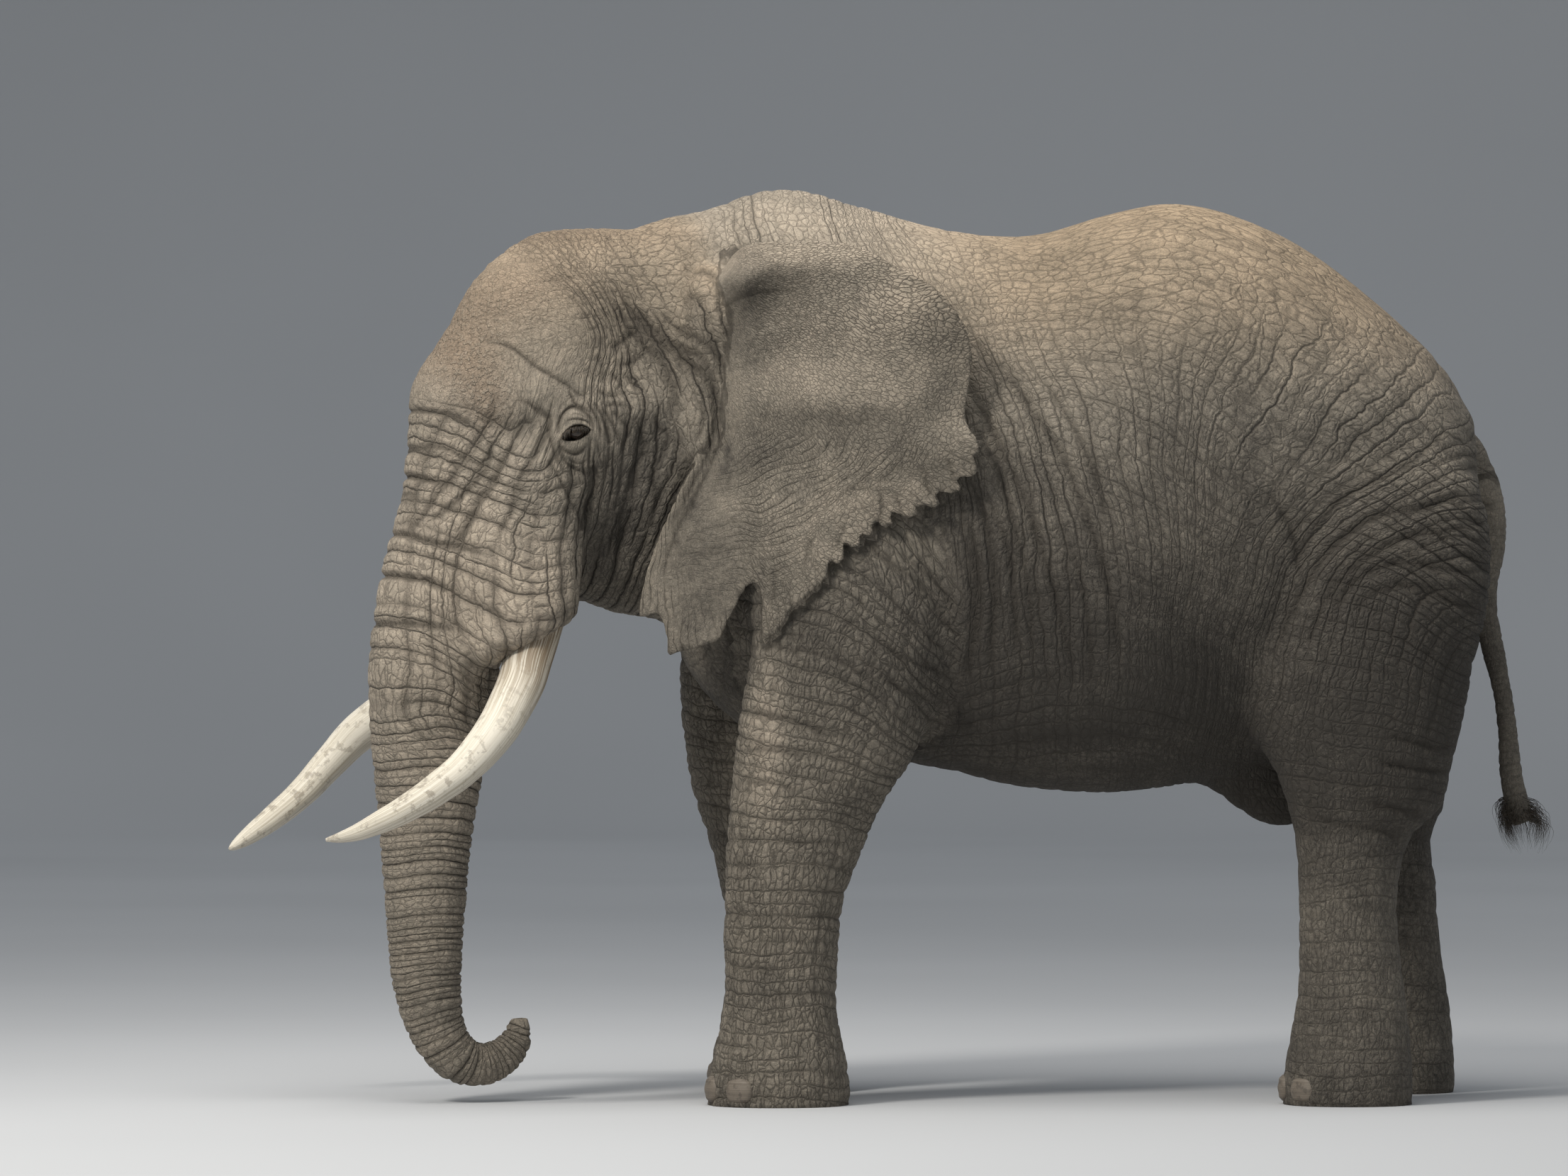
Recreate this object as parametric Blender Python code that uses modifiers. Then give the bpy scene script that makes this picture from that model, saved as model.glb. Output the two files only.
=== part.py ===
"""African bush elephant bull, life size, standing with its head lowered and turned to its left.

Metres, +Z up. The bull faces -X, its left side faces -Y, and it stands on z = 0. The flesh is
made whole from lofts along the head, trunk, neck, torso and legs, melted together, and then
parted with thin cuts into the pieces that a person would name.
"""

import math

import bmesh
import bpy
import numpy as np
from mathutils import Matrix, Vector

# Driving sizes
HEAD_PIVOT_X = -0.75
HEAD_TURN = math.radians(22)
FRAME_SHIFT = (0.00824, 0.10116)
CUT_GAP = 0.0006
SKIN_CLEARANCE = 0.0008
VOXEL = 0.03
SMOOTH_PASSES = 10
FLESH_TRIANGLES = 2800
RING_POINTS = 40
LOFT_STEPS = 6
EYE_RADIUS = 0.031
EYE_SPOT = (0.512, 0.352, 2.335)
EAR_THICKNESS = 0.024
EAR_SPOKES = 48
EAR_RINGS = 3

# Torso and neck lofts, along x: x, crest height, widest height, underline height, half width, y
TORSO = (
    (-0.78, 2.55, 2.15, 1.72, 0.14, 0.0),
    (-0.72, 3.00, 2.15, 1.52, 0.32, 0.0),
    (-0.56, 3.165, 2.12, 1.33, 0.47, 0.0),
    (-0.36, 3.207, 2.06, 1.24, 0.56, 0.0),
    (-0.12, 3.150, 2.02, 1.20, 0.59, 0.0),
    (0.16, 3.068, 1.98, 1.16, 0.635, 0.0),
    (0.48, 3.035, 1.94, 1.095, 0.69, 0.0),
    (0.76, 3.115, 1.94, 1.075, 0.712, 0.0),
    (1.00, 3.155, 1.98, 1.10, 0.70, 0.0),
    (1.24, 3.10, 2.04, 1.14, 0.66, 0.0),
    (1.50, 2.965, 2.10, 1.25, 0.60, 0.0),
    (1.76, 2.755, 2.12, 1.42, 0.515, 0.0),
    (1.95, 2.57, 2.10, 1.60, 0.41, 0.0),
    (2.06, 2.39, 2.08, 1.80, 0.25, 0.0),
)
NECK = (
    (0.00, 2.95, 2.35, 1.60, 0.38, 0.0),
    (-0.40, 3.17, 2.35, 1.50, 0.45, 0.0),
    (-0.66, 3.13, 2.35, 1.60, 0.44, -0.01),
    (-0.88, 3.07, 2.38, 1.72, 0.39, -0.06),
    (-1.06, 2.98, 2.45, 1.88, 0.32, -0.12),
)
GROIN_SHEATH = (
    (1.08, 1.24, 1.17, 1.12, 0.05, 0.0),
    (1.18, 1.30, 1.15, 1.05, 0.10, 0.0),
    (1.30, 1.34, 1.12, 0.965, 0.105, 0.0),
    (1.42, 1.36, 1.12, 0.95, 0.10, 0.0),
    (1.54, 1.38, 1.20, 1.06, 0.07, 0.0),
)
# Jaw loft, along the head's own forward line: forward, top, widest height, underline, half width, left
JAW = (
    (-0.22, 2.25, 2.00, 1.76, 0.20, 0.0),
    (0.00, 2.30, 2.00, 1.69, 0.26, 0.0),
    (0.20, 2.28, 1.98, 1.70, 0.27, 0.0),
    (0.36, 2.20, 1.94, 1.75, 0.23, 0.0),
    (0.50, 2.05, 1.88, 1.74, 0.16, 0.0),
    (0.60, 1.92, 1.79, 1.66, 0.10, 0.0),
    (0.67, 1.78, 1.70, 1.62, 0.045, 0.0),
)
# Upright lofts in the head's own frame: height, forward, left, half length, half width
SKULL = (
    (3.060, 0.34, 0.0, 0.09, 0.08),
    (3.040, 0.345, 0.0, 0.20, 0.16),
    (2.95, 0.352, 0.0, 0.322, 0.25),
    (2.82, 0.385, 0.0, 0.40, 0.31),
    (2.66, 0.40, 0.0, 0.455, 0.355),
    (2.50, 0.40, 0.0, 0.49, 0.385),
    (2.34, 0.385, 0.0, 0.48, 0.39),
    (2.18, 0.36, 0.0, 0.42, 0.355),
    (2.02, 0.32, 0.0, 0.34, 0.30),
    (1.90, 0.28, 0.0, 0.22, 0.20),
)
TRUNK_ROOT = (
    (2.97, 0.49, 0.0, 0.17, 0.13),
    (2.82, 0.537, 0.0, 0.23, 0.20),
    (2.68, 0.613, 0.0, 0.25, 0.235),
    (2.50, 0.718, 0.0, 0.265, 0.255),
    (2.30, 0.738, 0.0, 0.262, 0.255),
    (2.10, 0.77, 0.0, 0.258, 0.25),
    (1.90, 0.828, 0.0, 0.255, 0.25),
    (1.70, 0.873, 0.0, 0.25, 0.25),
    (1.50, 0.908, 0.0, 0.235, 0.24),
    (1.30, 0.925, 0.0, 0.212, 0.215),
)
TUSK_SHEATH = (
    (2.48, 0.62, 0.16, 0.12, 0.09),
    (2.24, 0.605, 0.20, 0.20, 0.15),
    (2.02, 0.652, 0.215, 0.22, 0.165),
    (1.82, 0.668, 0.24, 0.22, 0.165),
    (1.69, 0.668, 0.262, 0.19, 0.15),
    (1.61, 0.745, 0.27, 0.135, 0.128),
    (1.55, 0.795, 0.262, 0.085, 0.09),
    (1.515, 0.80, 0.25, 0.03, 0.035),
)
EAR_ROOT = (
    (2.92, 0.03, 0.40, 0.04, 0.04),
    (2.80, 0.04, 0.445, 0.09, 0.085),
    (2.62, 0.04, 0.455, 0.095, 0.09),
    (2.42, 0.05, 0.455, 0.09, 0.09),
    (2.24, 0.06, 0.45, 0.08, 0.085),
    (2.10, 0.06, 0.41, 0.04, 0.05),
)
CHEEKBONE = (
    (2.56, 0.24, 0.29, 0.05, 0.05),
    (2.49, 0.25, 0.335, 0.13, 0.075),
    (2.42, 0.26, 0.345, 0.17, 0.085),
    (2.34, 0.27, 0.33, 0.13, 0.075),
    (2.27, 0.28, 0.29, 0.05, 0.05),
)
# The free trunk, down and back under itself, in the head's frame: forward, left, height, radius
TRUNK = (
    (0.895, 0.0, 1.62, 0.225),
    (0.918, 0.0, 1.40, 0.222),
    (0.928, 0.0, 1.20, 0.203),
    (0.938, 0.0, 1.00, 0.176),
    (0.943, 0.0, 0.80, 0.157),
    (0.943, 0.0, 0.60, 0.140),
    (0.935, 0.0, 0.42, 0.122),
    (0.905, 0.0, 0.27, 0.106),
    (0.840, 0.0, 0.165, 0.094),
    (0.755, 0.0, 0.125, 0.084),
    (0.672, 0.0, 0.145, 0.076),
    (0.610, 0.0, 0.205, 0.066),
    (0.585, 0.0, 0.262, 0.052),
)
LEFT_TUSK = (
    (0.590, 0.225, 1.72, 0.086),
    (0.628, 0.252, 1.63, 0.086),
    (0.668, 0.292, 1.55, 0.085),
    (0.712, 0.345, 1.471, 0.082),
    (0.772, 0.410, 1.398, 0.078),
    (0.840, 0.470, 1.320, 0.073),
    (0.927, 0.530, 1.240, 0.067),
    (1.017, 0.567, 1.167, 0.060),
    (1.098, 0.582, 1.113, 0.055),
    (1.173, 0.578, 1.065, 0.050),
    (1.235, 0.565, 1.028, 0.045),
    (1.297, 0.542, 0.995, 0.039),
    (1.364, 0.508, 0.962, 0.029),
    (1.416, 0.472, 0.943, 0.018),
    (1.456, 0.442, 0.934, 0.006),
)
RIGHT_TUSK = (
    (0.610, 0.225, 1.72, 0.086),
    (0.655, 0.260, 1.62, 0.086),
    (0.715, 0.315, 1.53, 0.085),
    (0.805, 0.390, 1.45, 0.082),
    (0.905, 0.470, 1.367, 0.077),
    (1.011, 0.540, 1.277, 0.068),
    (1.107, 0.567, 1.172, 0.058),
    (1.211, 0.562, 1.068, 0.051),
    (1.333, 0.530, 0.980, 0.042),
    (1.427, 0.498, 0.923, 0.030),
    (1.480, 0.476, 0.893, 0.018),
    (1.507, 0.462, 0.880, 0.006),
)
# Legs: height, front edge, back edge, distance of the middle from the midline, half width
FORELEG = (
    (2.62, -0.50, -0.10, 0.26, 0.12),
    (2.34, -0.56, 0.06, 0.34, 0.19),
    (2.04, -0.55, 0.20, 0.405, 0.235),
    (1.82, -0.52, 0.255, 0.44, 0.248),
    (1.60, -0.497, 0.222, 0.45, 0.247),
    (1.40, -0.531, 0.160, 0.445, 0.235),
    (1.20, -0.556, 0.080, 0.435, 0.22),
    (1.05, -0.570, -0.020, 0.43, 0.205),
    (0.90, -0.580, -0.088, 0.42, 0.195),
    (0.70, -0.588, -0.163, 0.41, 0.187),
    (0.50, -0.590, -0.185, 0.40, 0.182),
    (0.34, -0.592, -0.188, 0.40, 0.188),
    (0.19, -0.620, -0.165, 0.40, 0.212),
    (0.07, -0.645, -0.148, 0.40, 0.232),
    (-0.06, -0.640, -0.152, 0.40, 0.228),
)
HINDLEG = (
    (2.56, 1.20, 1.76, 0.22, 0.16),
    (2.26, 1.20, 2.00, 0.28, 0.25),
    (2.00, 1.22, 2.085, 0.33, 0.29),
    (1.74, 1.22, 2.075, 0.365, 0.30),
    (1.52, 1.21, 2.02, 0.385, 0.29),
    (1.32, 1.24, 1.985, 0.39, 0.265),
    (1.16, 1.33, 1.945, 0.39, 0.235),
    (1.03, 1.375, 1.915, 0.385, 0.208),
    (0.92, 1.40, 1.80, 0.38, 0.188),
    (0.72, 1.413, 1.76, 0.375, 0.172),
    (0.50, 1.415, 1.77, 0.37, 0.167),
    (0.34, 1.405, 1.79, 0.37, 0.172),
    (0.19, 1.375, 1.805, 0.37, 0.188),
    (0.07, 1.355, 1.81, 0.37, 0.20),
    (-0.06, 1.36, 1.805, 0.37, 0.196),
)
# How far each right leg stands from its left twin along x: height, shift
FORELEG_LEAN = ((0.0, 0.0), (0.65, 0.0), (0.90, -0.074), (1.10, -0.145), (1.30, -0.197), (1.50, -0.245),
                (1.90, -0.24), (2.30, -0.14), (2.70, 0.0))
HINDLEG_LEAN = ((0.0, 0.21), (0.75, 0.20), (0.95, 0.13), (1.10, 0.03), (1.30, 0.0), (2.70, 0.0))
# Tail: x, y, height, radius
TAIL = (
    (1.96, 0.0, 2.36, 0.070),
    (2.05, 0.0, 2.23, 0.064),
    (2.098, 0.0, 2.09, 0.058),
    (2.108, 0.0, 1.95, 0.051),
    (2.092, 0.0, 1.82, 0.044),
    (2.096, 0.0, 1.71, 0.042),
    (2.118, 0.0, 1.61, 0.039),
    (2.143, 0.0, 1.50, 0.036),
    (2.163, 0.0, 1.40, 0.0325),
    (2.174, 0.0, 1.30, 0.029),
    (2.184, 0.0, 1.18, 0.029),
    (2.198, 0.0, 1.09, 0.031),
    (2.216, 0.0, 1.01, 0.036),
    (2.232, 0.0, 0.968, 0.026),
)
FINGERS = (((0.600, 0.0, 0.232, 0.032), (0.570, 0.0, 0.285, 0.026), (0.558, 0.0, 0.318, 0.014)),
           ((0.612, 0.0, 0.232, 0.032), (0.622, 0.0, 0.280, 0.026), (0.612, 0.0, 0.310, 0.014)))
TUFT = (
    (2.205, 0.0, 1.045, 0.042),
    (2.212, 0.0, 1.005, 0.068),
    (2.222, 0.0, 0.950, 0.088),
    (2.232, 0.0, 0.895, 0.078),
    (2.240, 0.0, 0.858, 0.040),
)
# The right ear is folded back about its hinge line in the head's frame, sits a little higher and hangs shorter
RIGHT_EAR_FOLD = math.radians(36)
RIGHT_EAR_RISE = 0.05
RIGHT_EAR_HANG = 0.84
EAR_HINGE = (0.06, 0.47)
# Ear outline about its middle, for the left ear: angle from +X towards +Z in degrees, distance
EAR_MIDDLE = (-0.36, 2.38)
EAR_EDGE = (
    (0, 0.608), (10, 0.632), (20, 0.672), (30, 0.686), (42, 0.672), (54, 0.640), (66, 0.640), (78, 0.630),
    (90, 0.615), (100, 0.625), (110, 0.655), (117, 0.640), (126, 0.470), (140, 0.330), (160, 0.262),
    (180, 0.246), (196, 0.285), (211, 0.420), (222, 0.600), (233.5, 0.872), (242, 0.905), (250, 0.850),
    (257, 0.790), (265, 0.760), (272, 0.640), (285, 0.545), (300, 0.487), (313, 0.500), (325, 0.560),
    (338, 0.635), (346, 0.665), (352, 0.645),
)
# Tears in the lower edge: angle in degrees, depth, half angle
EAR_TEARS = ((236.5, 0.10, 1.6), (254.0, 0.17, 3.2), (245.5, 0.03, 1.5), (269.0, 0.05, 2.0), (288.0, 0.025, 2.0),
             (334.0, 0.03, 2.0), (318.0, 0.02, 2.0))
# Nails: angles round the foot from straight ahead, in degrees
FORE_NAILS = (-62, -22, 18, 56)
HIND_NAILS = (-42, 0, 42)
NAIL_SIZE = (0.032, 0.050, 0.044)
NAIL_HEIGHT = 0.060

# Parting cuts. Legs are outlined as (distance from the midline, height), over a span of x
FORELEG_CUT = ((0.12, -0.4), (0.12, 1.15), (0.29, 1.15), (0.29, 1.56), (1.3, 1.86), (1.3, -0.4))
FORELEG_SPAN = (-1.0, 0.285)
HINDLEG_CUT = ((0.125, -0.4), (0.125, 1.22), (0.30, 1.22), (0.30, 1.52), (1.3, 1.72), (1.3, -0.4))
HINDLEG_SPAN = (1.06, 2.6)
SHEATH_CUT = ((-0.2, 0.5), (0.2, 0.5), (0.2, 1.088), (-0.2, 1.088))
SHEATH_SPAN = (1.05, 1.9)
# Lengths of the trunk, from its tip up: name, height of the cut above it
TRUNK_LENGTHS = (("trunk_tip", 0.30), ("trunk_lower", 0.64), ("trunk_middle", 1.06), ("trunk_upper", 1.49))
TRUNK_CUT_REACH = (0.30, 1.30)
JAW_CUT = ((0.05, 1.90), (0.43, 1.86), (0.43, 1.30), (0.115, 1.30))
HEAD_CUT = ((-0.07, 3.4), (0.14, 1.30), (1.60, 1.30), (1.60, 3.4))
NECK_CUT = ((-2.4, 1.2), (-0.66, 1.2), (-0.27, 3.6), (-2.4, 3.6))
BODY_CUT = ((-1.2, 0.8), (1.2, 0.8), (1.2, 3.6), (-1.2, 3.6))
RUMP_START = 1.16
BARREL_START = 0.36
BODY_END = 2.6

# Colour and roughness by the first word of a node's name
LOOKS = {
    "head": ((0.30, 0.24, 0.18), 0.88),
    "lower": ((0.22, 0.18, 0.15), 0.88),
    "neck": ((0.27, 0.22, 0.17), 0.88),
    "trunk": ((0.27, 0.22, 0.17), 0.88),
    "shoulders": ((0.25, 0.21, 0.17), 0.88),
    "barrel": ((0.25, 0.21, 0.17), 0.88),
    "rump": ((0.25, 0.21, 0.17), 0.88),
    "groin": ((0.13, 0.11, 0.10), 0.88),
    "foreleg": ((0.20, 0.17, 0.15), 0.88),
    "hindleg": ((0.18, 0.16, 0.14), 0.88),
    "ear": ((0.23, 0.20, 0.18), 0.86),
    "tail": ((0.19, 0.17, 0.15), 0.88),
    "tusk": ((0.72, 0.64, 0.48), 0.42),
    "eye": ((0.05, 0.03, 0.02), 0.12),
    "toenail": ((0.42, 0.36, 0.28), 0.60),
}
TUFT_LOOK = ((0.02, 0.018, 0.016), 0.70)


def collection(name):
    made = bpy.data.collections.new(name)
    bpy.context.scene.collection.children.link(made)
    return made


def material(name, colour, roughness):
    made = bpy.data.materials.new(name)
    made.use_nodes = True
    shader = made.node_tree.nodes["Principled BSDF"]
    shader.inputs["Base Color"].default_value = (*colour, 1.0)
    shader.inputs["Roughness"].default_value = roughness
    made.diffuse_color = (*colour, 1.0)
    return made


def mesh_object(name, points, faces, where):
    mesh = bpy.data.meshes.new(name)
    mesh.from_pydata([tuple(map(float, point)) for point in points], [], faces)
    made = bpy.data.objects.new(name, mesh)
    where.objects.link(made)
    work = bmesh.new()
    work.from_mesh(mesh)
    bmesh.ops.recalc_face_normals(work, faces=work.faces)
    work.to_mesh(mesh)
    work.free()
    return made


def through(stations, steps=LOFT_STEPS):
    """Stations with smooth in-between ones, by a Catmull-Rom curve through each column."""
    rows = np.array(stations, float)
    padded = np.vstack([2 * rows[0] - rows[1], rows, 2 * rows[-1] - rows[-2]])
    t = (np.arange(steps) / steps)[:, None]
    made = []
    for i in range(len(rows) - 1):
        a, b, c, d = padded[i:i + 4]
        made.append(b + 0.5 * t * (c - a + t * (2 * a - 5 * b + 4 * c - d + t * (3 * (b - c) + d - a))))
    return np.vstack(made + [rows[-1:]])


def skin_rings(name, rings, where):
    """A closed solid over rings of equal point counts, with a fan over each end."""
    count = len(rings[0])
    points = np.vstack([*rings, rings[0].mean(axis=0), rings[-1].mean(axis=0)])
    start, end = len(points) - 2, len(points) - 1
    faces = []
    for ring in range(len(rings) - 1):
        for i in range(count):
            j = (i + 1) % count
            a, b = ring * count, (ring + 1) * count
            faces.append((a + i, a + j, b + j, b + i))
    last = (len(rings) - 1) * count
    for i in range(count):
        j = (i + 1) % count
        faces.append((start, j, i))
        faces.append((end, last + i, last + j))
    return mesh_object(name, points, faces, where)


def turns(count=RING_POINTS):
    return np.arange(count) * (2 * math.pi / count)


def head_to_world(forward, left, up):
    """Points of the head's own frame, turned about the neck."""
    cos, sin = math.cos(HEAD_TURN), math.sin(HEAD_TURN)
    return np.stack([HEAD_PIVOT_X - forward * cos + left * sin, -forward * sin - left * cos, up + 0 * forward], -1)


def lengthways(name, stations, where, in_head=False):
    """A loft along x, or along the head's forward line, with an egg-shaped section."""
    u = turns()
    side, rise = np.cos(u), np.sin(u)
    rings = []
    for x, top, wide, low, half, y in through(stations):
        across = y + half * np.sign(side) * np.abs(side) ** 0.9
        height = np.where(rise > 0, wide + (top - wide) * rise, wide + (wide - low) * rise)
        rings.append(head_to_world(x + 0 * u, across, height) if in_head
                     else np.stack([x + 0 * u, across, height], -1))
    return skin_rings(name, rings, where)


def upright(name, stations, where, side=1):
    """A loft up the head, with elliptical sections in its own frame."""
    u = turns()
    rings = [head_to_world(f + a * np.cos(u), side * left + b * np.sin(u), z + 0 * u)
             for z, f, left, a, b in through(stations)]
    return skin_rings(name, rings, where)


def leg(name, stations, where, side, lean):
    """A loft up a leg, side -1 for the left one, with slightly squared sections."""
    u = turns()
    heights, shifts = np.array(lean).T
    rings = []
    for z, front, back, out, half in through(stations):
        move = np.interp(z, heights, shifts) if side > 0 else 0.0
        along = 0.5 * (back - front) * np.sign(np.cos(u)) * np.abs(np.cos(u)) ** 0.92
        across = half * np.sign(np.sin(u)) * np.abs(np.sin(u)) ** 0.92
        rings.append(np.stack([0.5 * (front + back) + move + along, side * out + across, z + 0 * u], -1))
    return skin_rings(name, rings, where)


def pipe(name, path, radii, where, count=RING_POINTS, squash=1.0):
    """A round tube along a path, with rings square to it. Squash flattens it from side to side."""
    path = np.array(path)
    ways = np.gradient(path, axis=0)
    u = turns(count)
    rings = []
    for spot, way, radius in zip(path, ways, radii):
        way = way / np.linalg.norm(way)
        across = np.cross(way, (0.0, 1.0, 0.0))
        across = across / np.linalg.norm(across)
        other = np.cross(way, across)
        rings.append(spot + radius * (np.cos(u)[:, None] * across + squash * np.sin(u)[:, None] * other))
    return skin_rings(name, rings, where)


def head_pipe(name, stations, where, side=1, count=RING_POINTS, steps=LOFT_STEPS):
    rows = through(stations, steps)
    path = head_to_world(rows[:, 0], side * rows[:, 1], rows[:, 2])
    return pipe(name, path, rows[:, 3], where, count)


def settle(item):
    """The object's mesh as its modifiers leave it, with none left."""
    graph = bpy.context.evaluated_depsgraph_get()
    mesh = bpy.data.meshes.new_from_object(item.evaluated_get(graph))
    item.modifiers.clear()
    item.data = mesh
    return item


def boolean(item, cutter, operation):
    step = item.modifiers.new(operation.title(), "BOOLEAN")
    step.operation = operation
    step.solver = "EXACT"
    step.object = cutter
    return settle(item)


def keep_largest(item):
    """Drops stray crumbs that a cut leaves, keeping the largest island."""
    work = bmesh.new()
    work.from_mesh(item.data)
    work.verts.ensure_lookup_table()
    seen, islands = set(), []
    for vert in work.verts:
        if vert.index in seen:
            continue
        stack, island = [vert], []
        seen.add(vert.index)
        while stack:
            here = stack.pop()
            island.append(here)
            for edge in here.link_edges:
                other = edge.other_vert(here)
                if other.index not in seen:
                    seen.add(other.index)
                    stack.append(other)
        islands.append(island)
    islands.sort(key=len)
    strays = [vert for island in islands[:-1] for vert in island]
    bmesh.ops.delete(work, geom=strays, context="VERTS")
    work.to_mesh(item.data)
    work.free()
    return item


def copy_of(item, name, where):
    made = bpy.data.objects.new(name, item.data.copy())
    where.objects.link(made)
    return made


def prism(name, outline, near, far, where, axis=0):
    """A solid of one outline, pushed along an axis between two levels. Axis 0 takes (y, z) pairs, axis 1 (x, z)."""
    count = len(outline)
    points = []
    for level in (near, far):
        for a, b in outline:
            points.append((level, a, b) if axis == 0 else (a, level, b))
    faces = [tuple(range(count)), tuple(range(2 * count - 1, count - 1, -1))]
    faces += [(i, i + count, (i + 1) % count + count, (i + 1) % count) for i in range(count)]
    return mesh_object(name, points, faces, where)


def grown(cutter, name, amount, where):
    made = copy_of(cutter, name, where)
    step = made.modifiers.new("Grow", "DISPLACE")
    step.strength = amount
    step.mid_level = 0.0
    return settle(made)


def ball(name, spot, size, where, across=10, high=7):
    work = bmesh.new()
    bmesh.ops.create_uvsphere(work, u_segments=across, v_segments=high, radius=1.0)
    bmesh.ops.transform(work, matrix=Matrix.Diagonal((*size, 1.0)), verts=work.verts)
    bmesh.ops.translate(work, vec=Vector(spot), verts=work.verts)
    mesh = bpy.data.meshes.new(name)
    work.to_mesh(mesh)
    work.free()
    made = bpy.data.objects.new(name, mesh)
    where.objects.link(made)
    return made


def build_flesh(helpers):
    """The whole body without ears, tusks, nails and tail, as one melted mesh."""
    lofts = [
        lengthways("torso_loft", TORSO, helpers),
        lengthways("neck_loft", NECK, helpers),
        lengthways("sheath_loft", GROIN_SHEATH, helpers),
        lengthways("jaw_loft", JAW, helpers, in_head=True),
        upright("skull_loft", SKULL, helpers),
        upright("trunk_root_loft", TRUNK_ROOT, helpers),
        head_pipe("trunk_loft", TRUNK, helpers),
    ]
    for number, finger in enumerate(FINGERS):
        lofts.append(head_pipe(f"finger_loft{number}", finger, helpers, steps=3))
    for side in (-1, 1):
        lofts.append(upright(f"tusk_sheath_loft{side}", TUSK_SHEATH, helpers, -side))
        lofts.append(upright(f"ear_root_loft{side}", EAR_ROOT, helpers, -side))
        lofts.append(upright(f"cheekbone_loft{side}", CHEEKBONE, helpers, -side))
        lofts.append(leg(f"foreleg_loft{side}", FORELEG, helpers, side, FORELEG_LEAN))
        lofts.append(leg(f"hindleg_loft{side}", HINDLEG, helpers, side, HINDLEG_LEAN))
    work = bmesh.new()
    for loft in lofts:
        work.from_mesh(loft.data)
    mesh = bpy.data.meshes.new("flesh")
    work.to_mesh(mesh)
    work.free()
    for loft in lofts:
        bpy.data.objects.remove(loft)
    flesh = bpy.data.objects.new("flesh", mesh)
    helpers.objects.link(flesh)
    melt = flesh.modifiers.new("Melt", "REMESH")
    melt.mode = "VOXEL"
    melt.voxel_size = VOXEL
    settle(flesh)
    soften = flesh.modifiers.new("Soften", "SMOOTH")
    soften.factor = 0.5
    soften.iterations = SMOOTH_PASSES
    settle(flesh)
    corners = sum(len(face.vertices) - 2 for face in flesh.data.polygons)
    thin = flesh.modifiers.new("Thin", "DECIMATE")
    thin.ratio = FLESH_TRIANGLES / corners
    settle(flesh)
    print("flesh", corners, len(flesh.data.polygons), flush=True)
    floor = prism("floor_cut", ((-2, -1), (2, -1), (2, 0), (-2, 0)), -3, 3, helpers)
    return keep_largest(boolean(flesh, floor, "DIFFERENCE"))


def carve(flesh, name, cutter, parts, helpers):
    """Moves what lies inside the cutter out of the flesh into a named part, with a thin gap all round."""
    piece = boolean(copy_of(flesh, name, parts), cutter, "INTERSECT")
    wider = grown(cutter, name + "_gap", CUT_GAP, helpers)
    boolean(flesh, wider, "DIFFERENCE")
    keep_largest(flesh)
    return keep_largest(piece)


def head_prism(name, outline, half_width, where):
    """A solid of one (forward, height) outline in the head's frame, from side to side."""
    made = prism(name, outline, -half_width, half_width, where, axis=1)
    for vert in made.data.vertices:
        f, left, z = vert.co
        vert.co = Vector(head_to_world(np.float64(f), np.float64(left), np.float64(z)))
    made.data.update()
    work = bmesh.new()
    work.from_mesh(made.data)
    bmesh.ops.recalc_face_normals(work, faces=work.faces)
    work.to_mesh(made.data)
    work.free()
    return made


def part_flesh(flesh, parts, helpers):
    """Parts the flesh: legs first, then the sheath, the head's pieces, the neck and the torso."""
    pieces = {}

    def take(name, cutter):
        pieces[name] = carve(flesh, name, cutter, parts, helpers)

    for word, side in (("left", -1), ("right", 1)):
        for leg_name, outline, span in (("foreleg", FORELEG_CUT, FORELEG_SPAN), ("hindleg", HINDLEG_CUT, HINDLEG_SPAN)):
            name = f"{leg_name}_{word}"
            take(name, prism(name + "_cut", [(side * y, z) for y, z in outline], *span, helpers))
    take("groin_sheath", prism("groin_sheath_cut", SHEATH_CUT, *SHEATH_SPAN, helpers))
    near, far = TRUNK_CUT_REACH
    low = FORELEG_CUT[0][1]
    for name, high in TRUNK_LENGTHS:
        outline = ((near, low), (far, low), (far, high), (near, high))
        take(name, head_prism(name + "_cut", outline, 0.40, helpers))
        low = high - 0.001
    take("lower_jaw", head_prism("lower_jaw_cut", JAW_CUT, 0.60, helpers))
    take("head", head_prism("head_cut", HEAD_CUT, 0.80, helpers))
    take("neck", prism("neck_cut", NECK_CUT, -1.2, 1.2, helpers, axis=1))
    take("rump", prism("rump_cut", BODY_CUT, RUMP_START, BODY_END, helpers))
    take("barrel", prism("barrel_cut", BODY_CUT, BARREL_START, BODY_END, helpers))
    pieces["shoulders"] = copy_of(flesh, "shoulders", parts)
    return pieces


def ear_distance(angle):
    """The distance of the ear's edge from its middle at an angle in degrees, with the tears cut in."""
    knots = np.array(EAR_EDGE, float)
    reach = np.interp(angle, np.append(knots[:, 0], 360.0), np.append(knots[:, 1], knots[0, 1]))
    for spot, depth, half in EAR_TEARS:
        reach = reach - depth * np.clip(1 - np.abs(angle - spot) / half, 0, 1)
    return reach


def ear_depth(x, z):
    """How far out from the midline the left ear's middle surface lies at a place of its outline."""
    back = np.clip((x + 0.62) / 0.90, 0, 1)
    out = 0.505 + 0.235 * back ** 0.7
    bowl = np.exp(-(((x + 0.40) / 0.17) ** 2 + ((z - 2.62) / 0.22) ** 2))
    front = np.clip((-0.62 - x) / 0.25, 0, 1)
    return out - 0.035 * bowl - 0.05 * front ** 2 - 0.06 * np.clip((2.9 - z) / -0.15, 0, 1)


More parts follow.
